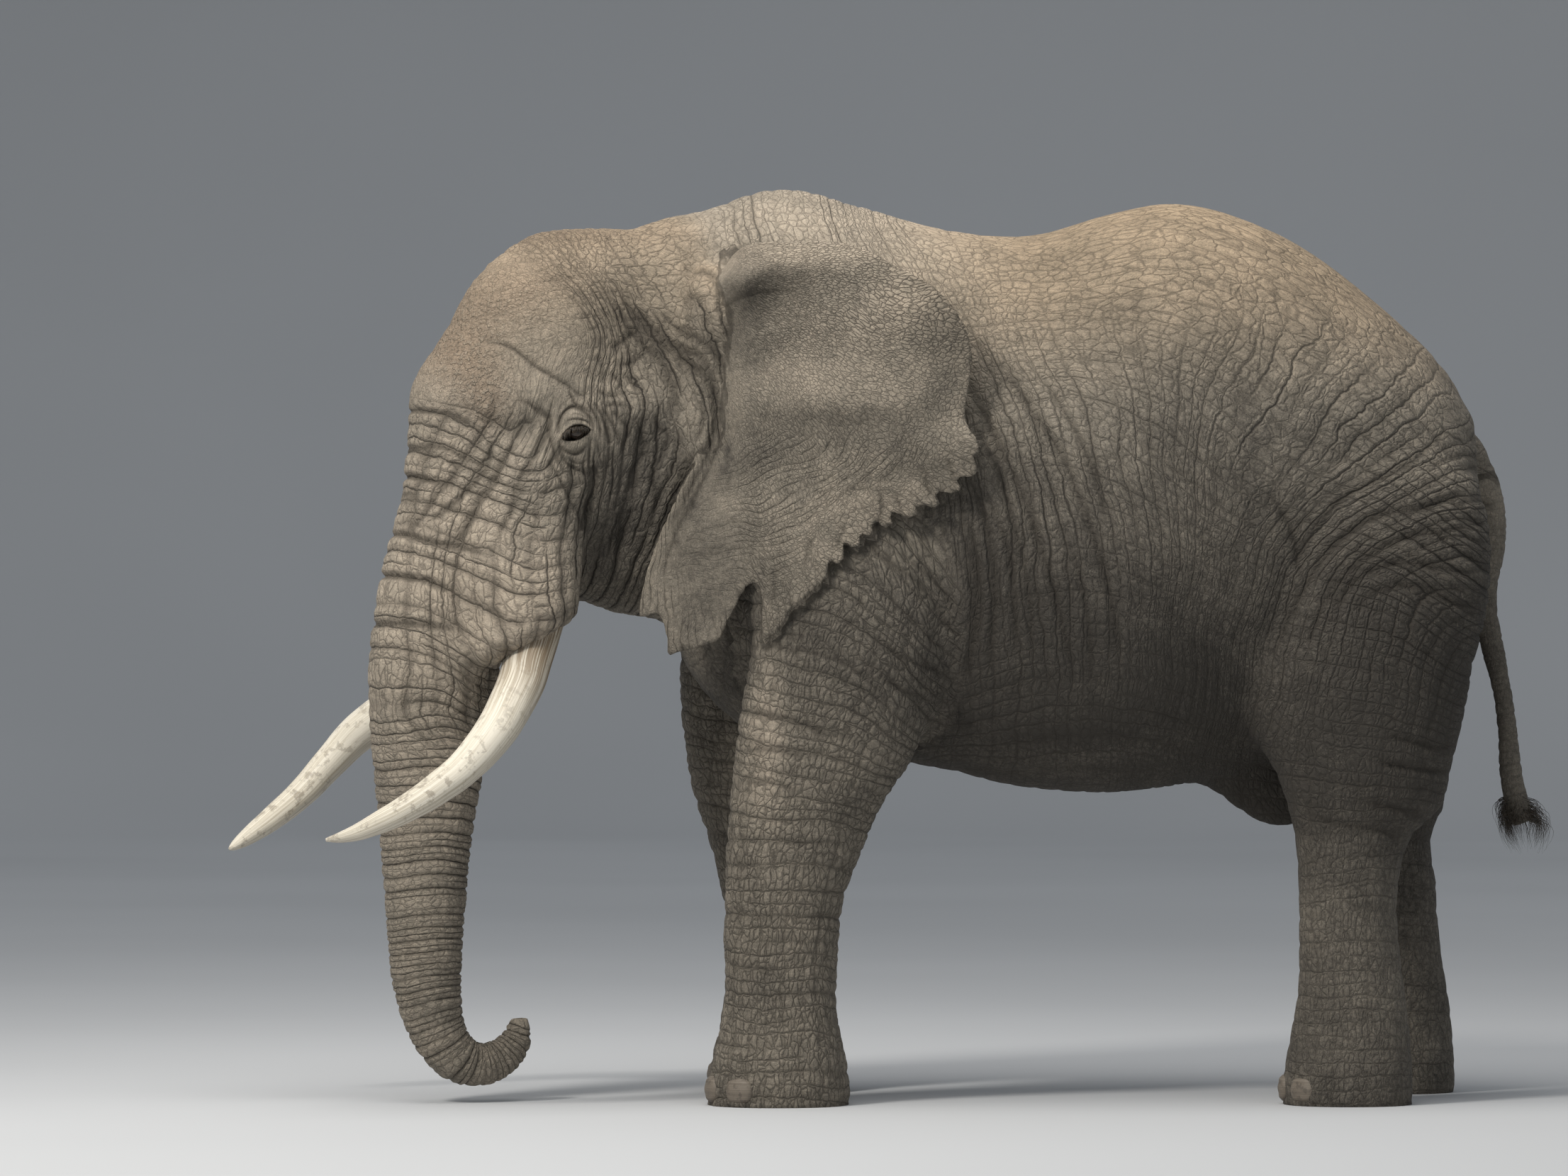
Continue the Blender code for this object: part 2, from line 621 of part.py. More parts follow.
def ear(name, side, where):
    """An ear as a spoked sheet with thickness, side -1 for the left one."""
    even = np.arange(EAR_SPOKES) * (360.0 / EAR_SPOKES)
    marks = [spot + k for spot, _, half in EAR_TEARS[:2] for k in (-half, 0, half)]
    angle = np.sort(np.concatenate([[a for a in even if min(abs(a - m) for m in marks) > 1.2], marks]))
    reach = ear_distance(angle)
    count = len(angle)
    points = []
    levels = np.linspace(0, 1, EAR_RINGS + 1)[1:] ** 0.85
    for face in (1, -1):
        for level in levels:
            x = EAR_MIDDLE[0] + reach * level * np.cos(np.radians(angle))
            z = EAR_MIDDLE[1] + reach * level * np.sin(np.radians(angle))
            thick = 0.5 * EAR_THICKNESS * (1.3 - 0.6 * level)
            points.append(np.stack([x, ear_depth(x, z) + face * thick, z], -1))
        middle = ear_depth(np.float64(EAR_MIDDLE[0]), np.float64(EAR_MIDDLE[1]))
        points.append(np.array([[EAR_MIDDLE[0], middle + face * 0.65 * EAR_THICKNESS, EAR_MIDDLE[1]]]))
    points = np.vstack(points)
    half = count * EAR_RINGS + 1
    faces = []
    for i in range(count):
        j = (i + 1) % count
        faces.append((half - 1, i, j))
        faces.append((2 * half - 1, half + j, half + i))
        for ring in range(EAR_RINGS - 1):
            a, b = ring * count, (ring + 1) * count
            faces.append((a + i, b + i, b + j, a + j))
            faces.append((half + a + i, half + a + j, half + b + j, half + b + i))
        rim = (EAR_RINGS - 1) * count
        faces.append((rim + i, half + rim + i, half + rim + j, rim + j))
    x, out, z = points.T
    if side < 0:
        placed = np.stack([x, -out, z], -1)
    else:
        cos, sin = math.cos(HEAD_TURN), math.sin(HEAD_TURN)
        forward = (HEAD_PIVOT_X - x) * cos + out * sin
        left = out * cos - (HEAD_PIVOT_X - x) * sin
        cos, sin = math.cos(RIGHT_EAR_FOLD), math.sin(RIGHT_EAR_FOLD)
        back, wide = EAR_HINGE[0] - forward, left - EAR_HINGE[1]
        forward = EAR_HINGE[0] - (back * cos + wide * sin)
        left = EAR_HINGE[1] + wide * cos - back * sin
        hang = np.where(z < EAR_MIDDLE[1], EAR_MIDDLE[1] + (z - EAR_MIDDLE[1]) * RIGHT_EAR_HANG, z)
        placed = head_to_world(forward, -left, hang + RIGHT_EAR_RISE)
    return mesh_object(name, placed, faces, where)


def foot_frame(stations, height, side, lean):
    """Middle and half sizes of a leg's section at a height."""
    rows = through(stations)[::-1]
    front, back, out, half = (np.interp(height, rows[:, 0], rows[:, i]) for i in (1, 2, 3, 4))
    shift = np.interp(height, *np.array(lean).T) if side > 0 else 0.0
    return 0.5 * (front + back) + shift, side * out, 0.5 * (back - front), half


def nails(word, stations, side, lean, angles, fat, parts):
    """Toenails: the outer caps of flattened balls round the front of a foot."""
    made = {}
    x, y, long, half = foot_frame(stations, NAIL_HEIGHT, side, lean)
    for number, degrees in enumerate(angles, 1):
        turn = math.radians(degrees) * side
        spot = (x - (long - 0.012) * math.cos(turn), y + (half - 0.012) * math.sin(turn), NAIL_HEIGHT)
        nail = ball(f"toenail_{word}_{number}", (0, 0, 0), NAIL_SIZE, parts, 10, 5)
        nail.data.transform(Matrix.Translation(spot) @ Matrix.Rotation(-turn, 4, "Z"))
        made[nail.name] = keep_largest(boolean(nail, fat, "DIFFERENCE"))
    return made


def main():
    for item in list(bpy.data.objects):
        bpy.data.objects.remove(item)
    parts = collection("elephant")
    helpers = collection("cutters")
    flesh = build_flesh(helpers)
    whole = copy_of(flesh, "whole_flesh", helpers)
    fat = grown(whole, "fat_flesh", SKIN_CLEARANCE, helpers)

    pieces = part_flesh(flesh, parts, helpers)
    head = pieces["head"]
    for word, side, table in (("left", 1, LEFT_TUSK), ("right", -1, RIGHT_TUSK)):
        tusk = head_pipe(f"tusk_{word}", table, parts, side, 10, 1)
        pieces[tusk.name] = keep_largest(boolean(tusk, fat, "DIFFERENCE"))
        spot = head_to_world(np.float64(EYE_SPOT[0]), np.float64(side * EYE_SPOT[1]), np.float64(EYE_SPOT[2]))
        pieces[f"eye_{word}"] = ball(f"eye_{word}", spot, (EYE_RADIUS,) * 3, parts)
        wide = EYE_RADIUS + SKIN_CLEARANCE
        boolean(head, ball(f"eye_{word}_socket", spot, (wide,) * 3, helpers), "DIFFERENCE")
        keep_largest(head)
    for word, side in (("left", -1), ("right", 1)):
        pieces[f"ear_{word}"] = keep_largest(boolean(ear(f"ear_{word}", side, parts), fat, "DIFFERENCE"))
        pieces.update(nails(f"fore_{word}", FORELEG, side, FORELEG_LEAN, FORE_NAILS, fat, parts))
        pieces.update(nails(f"hind_{word}", HINDLEG, side, HINDLEG_LEAN, HIND_NAILS, fat, parts))
    rows = through(TAIL, 1)
    tail = pipe("tail", rows[:, :3], rows[:, 3], parts, 8)
    pieces["tail"] = keep_largest(boolean(tail, fat, "DIFFERENCE"))
    rows = through(TUFT, 1)
    tuft = pipe("tail_tuft", rows[:, :3], rows[:, 3], parts, 12, 0.55)
    boolean(tuft, grown(tail, "tail_gap", SKIN_CLEARANCE, helpers), "DIFFERENCE")
    pieces["tail_tuft"] = keep_largest(tuft)

    for name, piece in pieces.items():
        colour, rough = TUFT_LOOK if name == "tail_tuft" else LOOKS[name.split("_")[0]]
        piece.data.materials.clear()
        piece.data.materials.append(material(name + "_surface", colour, rough))
        piece.data.transform(Matrix.Translation((*FRAME_SHIFT, 0.0)))
        piece.data.shade_smooth()
    for cutter in helpers.objects:
        cutter.hide_render = True
        cutter.display_type = "WIRE"
    total = sum(len(face.vertices) - 2 for piece in pieces.values() for face in piece.data.polygons)
    corners = np.array([vert.co for piece in pieces.values() for vert in piece.data.vertices])
    print(len(pieces), "nodes", total, "triangles", corners.min(axis=0), corners.max(axis=0),
          -0.5 * (corners.min(axis=0) + corners.max(axis=0)), flush=True)


main()
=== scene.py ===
import math

import bmesh
import bpy
import numpy as np
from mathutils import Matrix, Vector


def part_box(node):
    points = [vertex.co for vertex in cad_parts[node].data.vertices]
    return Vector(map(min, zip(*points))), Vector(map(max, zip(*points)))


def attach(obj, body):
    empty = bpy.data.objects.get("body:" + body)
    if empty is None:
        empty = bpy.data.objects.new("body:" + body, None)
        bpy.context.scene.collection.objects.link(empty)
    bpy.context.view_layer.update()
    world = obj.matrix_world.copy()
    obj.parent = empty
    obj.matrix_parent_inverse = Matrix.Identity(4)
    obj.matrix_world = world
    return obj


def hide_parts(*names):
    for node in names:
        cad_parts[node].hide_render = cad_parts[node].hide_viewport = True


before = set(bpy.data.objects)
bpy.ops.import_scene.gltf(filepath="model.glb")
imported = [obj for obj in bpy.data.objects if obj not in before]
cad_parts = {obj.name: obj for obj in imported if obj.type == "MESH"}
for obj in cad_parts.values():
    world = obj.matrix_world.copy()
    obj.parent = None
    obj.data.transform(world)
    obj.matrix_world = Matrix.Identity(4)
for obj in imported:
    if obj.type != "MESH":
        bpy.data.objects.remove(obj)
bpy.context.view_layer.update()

# The bull faces -X with its left side towards -Y. Shapes are worked out about its own midline and moved
# into the frame at the end. Points of the head are (forward, left, up) in a frame turned about the neck.
stance = dict(headPivotX=-0.75, headTurn=math.radians(22), eyeSpot=(0.512, 0.352, 2.335), eyeRadius=0.031,
              eyeTurn=math.radians(12.6), faceOut=0.3)


def cosSin(angle):
    return math.cos(angle), math.sin(angle)


def headToBody(forward, left, up):  # the head's own axes turned about the upright line through the neck
    cos, sin = cosSin(stance["headTurn"])
    return np.stack([stance["headPivotX"] - forward * cos + left * sin, -forward * sin - left * cos,
                     up + 0 * forward], -1)


def bodyToHead(points):  # the same turn undone
    cos, sin = cosSin(stance["headTurn"])
    ahead, aside = stance["headPivotX"] - points[..., 0], -points[..., 1]
    return np.stack([ahead * cos + aside * sin, aside * cos - ahead * sin, points[..., 2]], -1)


eyeLow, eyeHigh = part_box("eye_left")
eyeMiddle = 0.5 * (np.array(eyeLow) + np.array(eyeHigh))
frameShift = eyeMiddle - headToBody(*(np.float64(v) for v in stance["eyeSpot"]))


# Small helpers for arrays

def ease(low, high, value):  # 3t^2 - 2t^3 between two levels
    t = np.clip((value - low) / (high - low), 0, 1)
    return t * t * (3 - 2 * t)


def bump(value, middle, spread):  # a bell curve, 1 at the middle
    return np.exp(-((value - middle) / spread) ** 2)


def squared(value, power):  # keeps the sign and raises the size to a power, which squares off a circle
    return np.sign(value) * np.abs(value) ** power


def turns(count):
    return np.arange(count) * (2 * math.pi / count)


def unit(vectors):  # v / |v|
    return vectors / np.linalg.norm(vectors, axis=-1, keepdims=True)


def arcsOf(path):  # length of the path up to each of its points
    return np.concatenate([[0], np.cumsum(np.linalg.norm(np.diff(path, axis=0), axis=1))])


# Catmull-Rom through each column: b + t/2 (c-a + t(2a-5b+4c-d + t(3b-3c+d-a)))
def smoothRows(rows, steps):
    rows = np.asarray(rows, float)
    padded = np.vstack([2 * rows[0] - rows[1], rows, 2 * rows[-1] - rows[-2]])
    a, b, c, d = (padded[i:i + len(rows) - 1, None, :] for i in range(4))
    t = (np.arange(steps) / steps)[None, :, None]
    made = b + 0.5 * t * (c - a + t * (2 * a - 5 * b + 4 * c - d + t * (3 * (b - c) + d - a)))
    return np.vstack([made.reshape(-1, rows.shape[1]), rows[-1:]])


def scatter(cell, seed):  # an even random number from 0 to 1 for each whole-number cell
    across, deep, up = np.moveaxis(cell.astype(np.int64), -1, 0)
    mixed = (across * 73856093) ^ (deep * 19349663) ^ (up * 83492791) ^ (seed * 40503)
    mixed = ((mixed ^ (mixed >> 13)) * 1274126177) & 0x7fffffff
    mixed = ((mixed ^ (mixed >> 15)) * 668265263) & 0x7fffffff
    return ((mixed ^ (mixed >> 14)) & 0xffffff) / 16777216


def cloud(points, seed):  # value noise from 0 to 1: eight random corner values blended by 3t^2 - 2t^3
    base = np.floor(points)
    t = points - base
    t = t * t * (3 - 2 * t)
    total = np.zeros(points.shape[:-1])
    for corner in range(8):
        bits = np.array([corner & 1, (corner >> 1) & 1, (corner >> 2) & 1])
        total += np.prod(np.where(bits, t, 1 - t), axis=-1) * scatter(base + bits, seed)
    return total


def cloudOf(a, b, seed):
    a, b = np.broadcast_arrays(a, b)
    return cloud(np.stack([a, b, 0 * a + 0.5], -1), seed)


def cellEdge(points, seed):  # a spot per cell: distance to the second nearest less that to the nearest
    base = np.floor(points)
    first, second = np.full(len(points), 9.0), np.full(len(points), 9.0)
    for step in np.ndindex(3, 3, 3):
        cell = base + np.array(step) - 1
        spot = cell + np.stack([scatter(cell, seed), scatter(cell, seed + 1), scatter(cell, seed + 2)], -1)
        far = np.linalg.norm(points - spot, axis=-1)
        second = np.minimum(second, np.maximum(first, far))
        first = np.minimum(first, far)
    return second - first


def tubeFaces(rings, around):  # quads between neighbouring rings, and a fan of triangles over each end
    row, spot = np.arange(rings - 1)[:, None] * around, np.arange(around)[None, :]
    a, b = row + spot, row + (spot + 1) % around
    quads = np.stack([a, b, b + around, a + around], -1).reshape(-1, 4)
    spot, after, start = np.arange(around), (np.arange(around) + 1) % around, rings * around
    last = start - around
    fans = np.vstack([np.stack([0 * spot + start, after, spot], -1),
                      np.stack([0 * spot + start + 1, last + spot, last + after], -1)])
    return quads, fans


def closedTube(rings):  # rings is an array of points: ring, place round it, xyz
    points = np.vstack([rings.reshape(-1, 3), rings[:1].mean(1), rings[-1:].mean(1)])
    return (points, *tubeFaces(*rings.shape[:2]))


def joined(surfaces):  # several surfaces as one list of points and faces
    points, quads, fans, start = [], [], [], 0
    for spots, fours, threes in surfaces:
        points.append(spots)
        quads.append(fours + start)
        fans.append(threes + start)
        start += len(spots)
    return np.vstack(points), np.vstack(quads), np.vstack(fans)


def meshOf(name, surface):  # faces are turned to hold a positive volume, so that they look outwards
    points, quads, fans = surface
    corners = np.vstack([quads[:, :3], quads[:, [0, 2, 3]], fans])
    if np.linalg.det(points[corners] - points.mean(axis=0)).sum() < 0:
        quads, fans = quads[:, ::-1], fans[:, ::-1]
    mesh = bpy.data.meshes.new(name)
    mesh.from_pydata(points.tolist(), [], quads.tolist() + fans.tolist())
    return mesh


def place(name, mesh):
    made = bpy.data.objects.new(name, mesh)
    bpy.context.scene.collection.objects.link(made)
    return made


def spotsOf(mesh):
    found = np.empty(len(mesh.vertices) * 3, np.float32)
    mesh.vertices.foreach_get("co", found)
    return found.reshape(-1, 3).astype(float)


def normalsOf(mesh):
    found = np.empty(len(mesh.vertices) * 3, np.float32)
    mesh.vertex_normals.foreach_get("vector", found)
    return found.reshape(-1, 3).astype(float)


def moveSpots(mesh, points):
    mesh.vertices.foreach_set("co", points.astype(np.float32).ravel())
    mesh.update()


def remade(mesh, name, steps):  # the mesh after a few modifiers, each given as (type, settings)
    item = place(name + "_work", mesh)
    for kind, settings in steps:
        step = item.modifiers.new(kind.title(), kind)
        for key, value in settings.items():
            setattr(step, key, value)
    graph = bpy.context.evaluated_depsgraph_get()
    made = bpy.data.meshes.new_from_object(item.evaluated_get(graph))
    made.name = name
    bpy.data.objects.remove(item)
    return made


def store(mesh, name, values):
    kind = "FLOAT_VECTOR" if values.ndim == 2 else "FLOAT"
    made = mesh.attributes.new(name, kind, "POINT")
    made.data.foreach_set("vector" if values.ndim == 2 else "value", values.astype(np.float32).ravel())


# Flesh: lofts along the torso, neck and jaw.
# Each row: along, top, widest height, underline, half width, middle

torso = dict(rows=((-0.78, 2.55, 2.15, 1.72, 0.14, 0), (-0.72, 3.0, 2.15, 1.52, 0.32, 0),
                   (-0.56, 3.165, 2.12, 1.33, 0.47, 0), (-0.36, 3.207, 2.06, 1.24, 0.56, 0),
                   (-0.12, 3.15, 2.02, 1.2, 0.59, 0), (0.16, 3.068, 1.98, 1.16, 0.635, 0),
                   (0.48, 3.035, 1.94, 1.095, 0.69, 0), (0.76, 3.115, 1.94, 1.075, 0.712, 0),
                   (1.0, 3.155, 1.98, 1.1, 0.7, 0), (1.24, 3.1, 2.04, 1.14, 0.66, 0),
                   (1.5, 2.965, 2.1, 1.25, 0.6, 0), (1.76, 2.755, 2.12, 1.42, 0.515, 0),
                   (1.95, 2.57, 2.1, 1.6, 0.41, 0), (2.06, 2.39, 2.08, 1.8, 0.25, 0)))
neck = dict(rows=((0.0, 2.95, 2.35, 1.6, 0.38, 0), (-0.4, 3.17, 2.35, 1.5, 0.45, 0),
                  (-0.66, 3.13, 2.35, 1.6, 0.44, -0.01), (-0.88, 3.07, 2.38, 1.72, 0.39, -0.06),
                  (-1.06, 2.98, 2.45, 1.88, 0.32, -0.12)))
groinSheath = dict(rows=((1.08, 1.24, 1.17, 1.12, 0.05, 0), (1.18, 1.3, 1.15, 1.05, 0.1, 0),
                         (1.3, 1.34, 1.12, 0.965, 0.105, 0), (1.42, 1.36, 1.12, 0.95, 0.1, 0),
                         (1.54, 1.38, 1.2, 1.06, 0.07, 0)))
jaw = dict(rows=((-0.22, 2.25, 2.0, 1.76, 0.2, 0), (0.0, 2.3, 2.0, 1.69, 0.26, 0),
                 (0.2, 2.28, 1.98, 1.7, 0.27, 0), (0.36, 2.2, 1.94, 1.75, 0.23, 0),
                 (0.5, 2.05, 1.88, 1.74, 0.16, 0), (0.6, 1.92, 1.79, 1.66, 0.1, 0),
                 (0.67, 1.78, 1.7, 1.62, 0.045, 0)))
# Upright lofts of the head. Each row: height, forward, left, half length, half width
skull = dict(rows=((3.06, 0.34, 0, 0.09, 0.08), (3.04, 0.345, 0, 0.2, 0.16), (2.95, 0.352, 0, 0.322, 0.25),
                   (2.82, 0.385, 0, 0.4, 0.31), (2.66, 0.4, 0, 0.455, 0.355), (2.5, 0.4, 0, 0.49, 0.385),
                   (2.34, 0.385, 0, 0.48, 0.39), (2.18, 0.36, 0, 0.42, 0.355), (2.02, 0.32, 0, 0.34, 0.3),
                   (1.9, 0.28, 0, 0.22, 0.2)))
trunkRoot = dict(rows=((2.97, 0.49, 0, 0.17, 0.13), (2.82, 0.537, 0, 0.23, 0.2),
                       (2.68, 0.613, 0, 0.25, 0.235), (2.5, 0.718, 0, 0.265, 0.255),
                       (2.3, 0.738, 0, 0.262, 0.255), (2.1, 0.77, 0, 0.258, 0.25),
                       (1.9, 0.828, 0, 0.255, 0.25), (1.7, 0.873, 0, 0.25, 0.25),
                       (1.5, 0.908, 0, 0.235, 0.24), (1.3, 0.925, 0, 0.212, 0.215)))
tuskSheath = dict(rows=((2.48, 0.62, 0.16, 0.12, 0.09), (2.24, 0.605, 0.2, 0.2, 0.15),
                        (2.02, 0.652, 0.215, 0.22, 0.165), (1.82, 0.668, 0.24, 0.22, 0.165),
                        (1.69, 0.668, 0.262, 0.19, 0.15), (1.61, 0.745, 0.27, 0.135, 0.128),
                        (1.55, 0.795, 0.262, 0.085, 0.09), (1.515, 0.8, 0.25, 0.03, 0.035)))
earRoot = dict(rows=((2.92, 0.03, 0.4, 0.04, 0.04), (2.8, 0.04, 0.445, 0.09, 0.085),
                     (2.62, 0.04, 0.455, 0.095, 0.09), (2.42, 0.05, 0.455, 0.09, 0.09),
                     (2.24, 0.06, 0.45, 0.08, 0.085), (2.1, 0.06, 0.41, 0.04, 0.05)))
cheekbone = dict(rows=((2.56, 0.24, 0.29, 0.05, 0.05), (2.49, 0.25, 0.335, 0.13, 0.075),
                       (2.42, 0.26, 0.345, 0.17, 0.085), (2.34, 0.27, 0.33, 0.13, 0.075),
                       (2.27, 0.28, 0.29, 0.05, 0.05)))
# Free trunk, down and back under itself, and its two fingers. Each row: forward, left, height, radius
trunk = dict(rows=((0.895, 0, 1.62, 0.225), (0.918, 0, 1.4, 0.222), (0.928, 0, 1.2, 0.203),
                   (0.938, 0, 1.0, 0.176), (0.943, 0, 0.8, 0.157), (0.943, 0, 0.6, 0.14),
                   (0.935, 0, 0.42, 0.122), (0.905, 0, 0.27, 0.106), (0.84, 0, 0.165, 0.094),
                   (0.755, 0, 0.125, 0.084), (0.672, 0, 0.145, 0.076), (0.61, 0, 0.205, 0.066),
                   (0.585, 0, 0.262, 0.052)),
             upperFinger=((0.6, 0, 0.232, 0.032), (0.57, 0, 0.285, 0.026), (0.558, 0, 0.318, 0.014)),
             lowerFinger=((0.612, 0, 0.232, 0.032), (0.622, 0, 0.28, 0.026), (0.612, 0, 0.31, 0.014)))
# Legs. Each row: height, front edge, back edge, distance from the midline, half width.
# Lean: height, and how far forward the right leg stands there
foreleg = dict(rows=((2.62, -0.5, -0.1, 0.26, 0.12), (2.34, -0.56, 0.06, 0.34, 0.19),
                     (2.04, -0.55, 0.2, 0.405, 0.235), (1.82, -0.52, 0.255, 0.44, 0.248),
                     (1.6, -0.497, 0.222, 0.45, 0.247), (1.4, -0.531, 0.16, 0.445, 0.235),
                     (1.2, -0.556, 0.08, 0.435, 0.22), (1.05, -0.57, -0.02, 0.43, 0.205),
                     (0.9, -0.58, -0.088, 0.42, 0.195), (0.7, -0.588, -0.163, 0.41, 0.187),
                     (0.5, -0.59, -0.185, 0.4, 0.182), (0.34, -0.592, -0.188, 0.4, 0.188),
                     (0.19, -0.62, -0.165, 0.4, 0.212), (0.07, -0.645, -0.148, 0.4, 0.232),
                     (-0.06, -0.64, -0.152, 0.4, 0.228)),
               lean=((0, 0), (0.65, 0), (0.9, -0.074), (1.1, -0.145), (1.3, -0.197), (1.5, -0.245),
                     (1.9, -0.24), (2.3, -0.14), (2.7, 0)), nails=(-62, -22, 18, 56))
hindleg = dict(rows=((2.56, 1.2, 1.76, 0.22, 0.16), (2.26, 1.2, 2.0, 0.28, 0.25),
                     (2.0, 1.22, 2.085, 0.33, 0.29), (1.74, 1.22, 2.075, 0.365, 0.3),
                     (1.52, 1.21, 2.02, 0.385, 0.29), (1.32, 1.24, 1.985, 0.39, 0.265),
                     (1.16, 1.33, 1.945, 0.39, 0.235), (1.03, 1.375, 1.915, 0.385, 0.208),
                     (0.92, 1.4, 1.8, 0.38, 0.188), (0.72, 1.413, 1.76, 0.375, 0.172),
                     (0.5, 1.415, 1.77, 0.37, 0.167), (0.34, 1.405, 1.79, 0.37, 0.172),
                     (0.19, 1.375, 1.805, 0.37, 0.188), (0.07, 1.355, 1.81, 0.37, 0.2),
                     (-0.06, 1.36, 1.805, 0.37, 0.196)),
               lean=((0, 0.21), (0.75, 0.2), (0.95, 0.13), (1.1, 0.03), (1.3, 0), (2.7, 0)),
               nails=(-42, 0, 42))
# Tail and its tuft's path. Each row: x, y, height, radius
tail = dict(rows=((1.96, 0, 2.36, 0.07), (2.05, 0, 2.23, 0.064), (2.098, 0, 2.09, 0.058),
                  (2.108, 0, 1.95, 0.051), (2.092, 0, 1.82, 0.044), (2.096, 0, 1.71, 0.042),
                  (2.118, 0, 1.61, 0.039), (2.143, 0, 1.5, 0.036), (2.163, 0, 1.4, 0.0325),
                  (2.174, 0, 1.3, 0.029), (2.184, 0, 1.18, 0.029), (2.198, 0, 1.09, 0.031),
                  (2.216, 0, 1.01, 0.036), (2.232, 0, 0.968, 0.026)))
# Ears: an outline of angle and distance about a middle, tears, and the right ear's fold about its hinge
ear = dict(middle=(-0.36, 2.38), thickness=0.024, clear=0.03, fold=math.radians(36), rise=0.05, hang=0.84,
           hinge=(0.06, 0.47), flange=0.034, hollow=0.036, shelf=0.028, rim=0.045, pleat=0.02, ripple=0.013,
           spokes=420, rings=70, scallops=(0.012, 0.01),
           edge=((0, 0.608), (10, 0.632), (20, 0.672), (30, 0.686), (42, 0.672), (54, 0.64), (66, 0.64),
                 (78, 0.63), (90, 0.615), (100, 0.622), (106, 0.618), (112, 0.58), (118, 0.515),
                 (126, 0.445), (140, 0.325), (160, 0.262), (180, 0.246), (196, 0.285), (211, 0.42),
                 (222, 0.6), (233.5, 0.872), (242, 0.905), (250, 0.85), (257, 0.79), (265, 0.76),
                 (272, 0.64), (285, 0.545), (300, 0.487), (313, 0.5), (325, 0.56), (338, 0.635),
                 (346, 0.665), (352, 0.645)),
           lowEdge=((228, 0.745), (233.0, 0.864), (234.2, 0.85), (236.1, 0.807), (238.5, 0.825),
                    (241.1, 0.868), (243.2, 0.925), (244.4, 0.894), (246.5, 0.872), (249.6, 0.832),
                    (252.9, 0.8), (253.6, 0.72), (255.0, 0.64), (256.2, 0.592), (258.8, 0.578),
                    (261.0, 0.592), (262.0, 0.66), (262.8, 0.762), (264.7, 0.765), (266.5, 0.745),
                    (268.4, 0.712), (270.0, 0.668), (272.7, 0.641), (277.7, 0.592), (281.5, 0.572)),
           tears=((286.0, 0.045, 2.2), (294.0, 0.05, 2.4), (302.0, 0.035, 2.0), (309.0, 0.045, 2.2),
                  (317.0, 0.05, 2.4), (325.5, 0.045, 2.2), (333.0, 0.05, 2.2), (340.0, 0.04, 2.0),
                  (347.5, 0.03, 2.0)))
skinMaking = dict(steps=8, around=72, tailAround=32, tailExtra=0.007, firstVoxel=0.02, firstSmoothing=22,
                  voxel=0.008, smoothing=3, eyeCuts=3, eyeReach=0.15, eyeEvening=6, triangles=196000)


def ringsOf(rows):  # smoothed rows, and the angles round each of them
    return smoothRows(rows, skinMaking["steps"])[:, None, :], turns(skinMaking["around"])[None, :]


def longLoft(rows, inHead=False):  # egg-shaped rings along x, or along the head's forward line
    r, u = ringsOf(rows)
    side, rise = np.cos(u), np.sin(u)
    across = r[..., 5] + r[..., 4] * squared(side, 0.9)
    height = r[..., 2] + np.where(rise > 0, r[..., 1] - r[..., 2], r[..., 2] - r[..., 3]) * rise
    along = r[..., 0] + 0 * u
    spots = headToBody(along, across, height) if inHead else np.stack([along, across, height], -1)
    return closedTube(spots)


def tallLoft(rows, side=1):  # elliptical rings up the head, side 1 for the left
    r, u = ringsOf(rows)
    forward, left = r[..., 1] + r[..., 3] * np.cos(u), side * r[..., 2] + r[..., 4] * np.sin(u)
    return closedTube(headToBody(forward, left, r[..., 0] + 0 * u))


def legAt(shape, side, z, steps):  # front edge, back edge, distance out, half width and lean at a height
    rows = smoothRows(shape["rows"], steps)[::-1].T
    lean = np.interp(z, *np.array(shape["lean"]).T) if side < 0 else 0
    return (*(np.interp(z, rows[0], rows[i]) for i in (1, 2, 3, 4)), lean)


def legLoft(shape, side):  # slightly squared rings up a leg, side 1 for the left
    r, u = ringsOf(shape["rows"])
    shift = np.interp(r[..., 0], *np.array(shape["lean"]).T) if side < 0 else 0
    along = 0.5 * (r[..., 1] + r[..., 2]) + shift + 0.5 * (r[..., 2] - r[..., 1]) * squared(np.cos(u), 0.92)
    across = -side * r[..., 3] + r[..., 4] * squared(np.sin(u), 0.92)
    return closedTube(np.stack([along, across, r[..., 0] + 0 * u], -1))


def pipeRings(path, radii, around):  # round rings square to a path that keeps to an upright plane
    ways = unit(np.gradient(path, axis=0))
    flat = unit(np.cross(ways, (0.0, 1.0, 0.0)))
    other = np.cross(ways, flat)
    u = turns(around)[None, :, None]
    ring = np.cos(u) * flat[:, None] + np.sin(u) * other[:, None]
    return path[:, None] + radii[:, None, None] * ring


def headPipe(rows):
    r = smoothRows(rows, skinMaking["steps"])
    return closedTube(pipeRings(headToBody(r[:, 0], r[:, 1], r[:, 2]), r[:, 3], skinMaking["around"]))


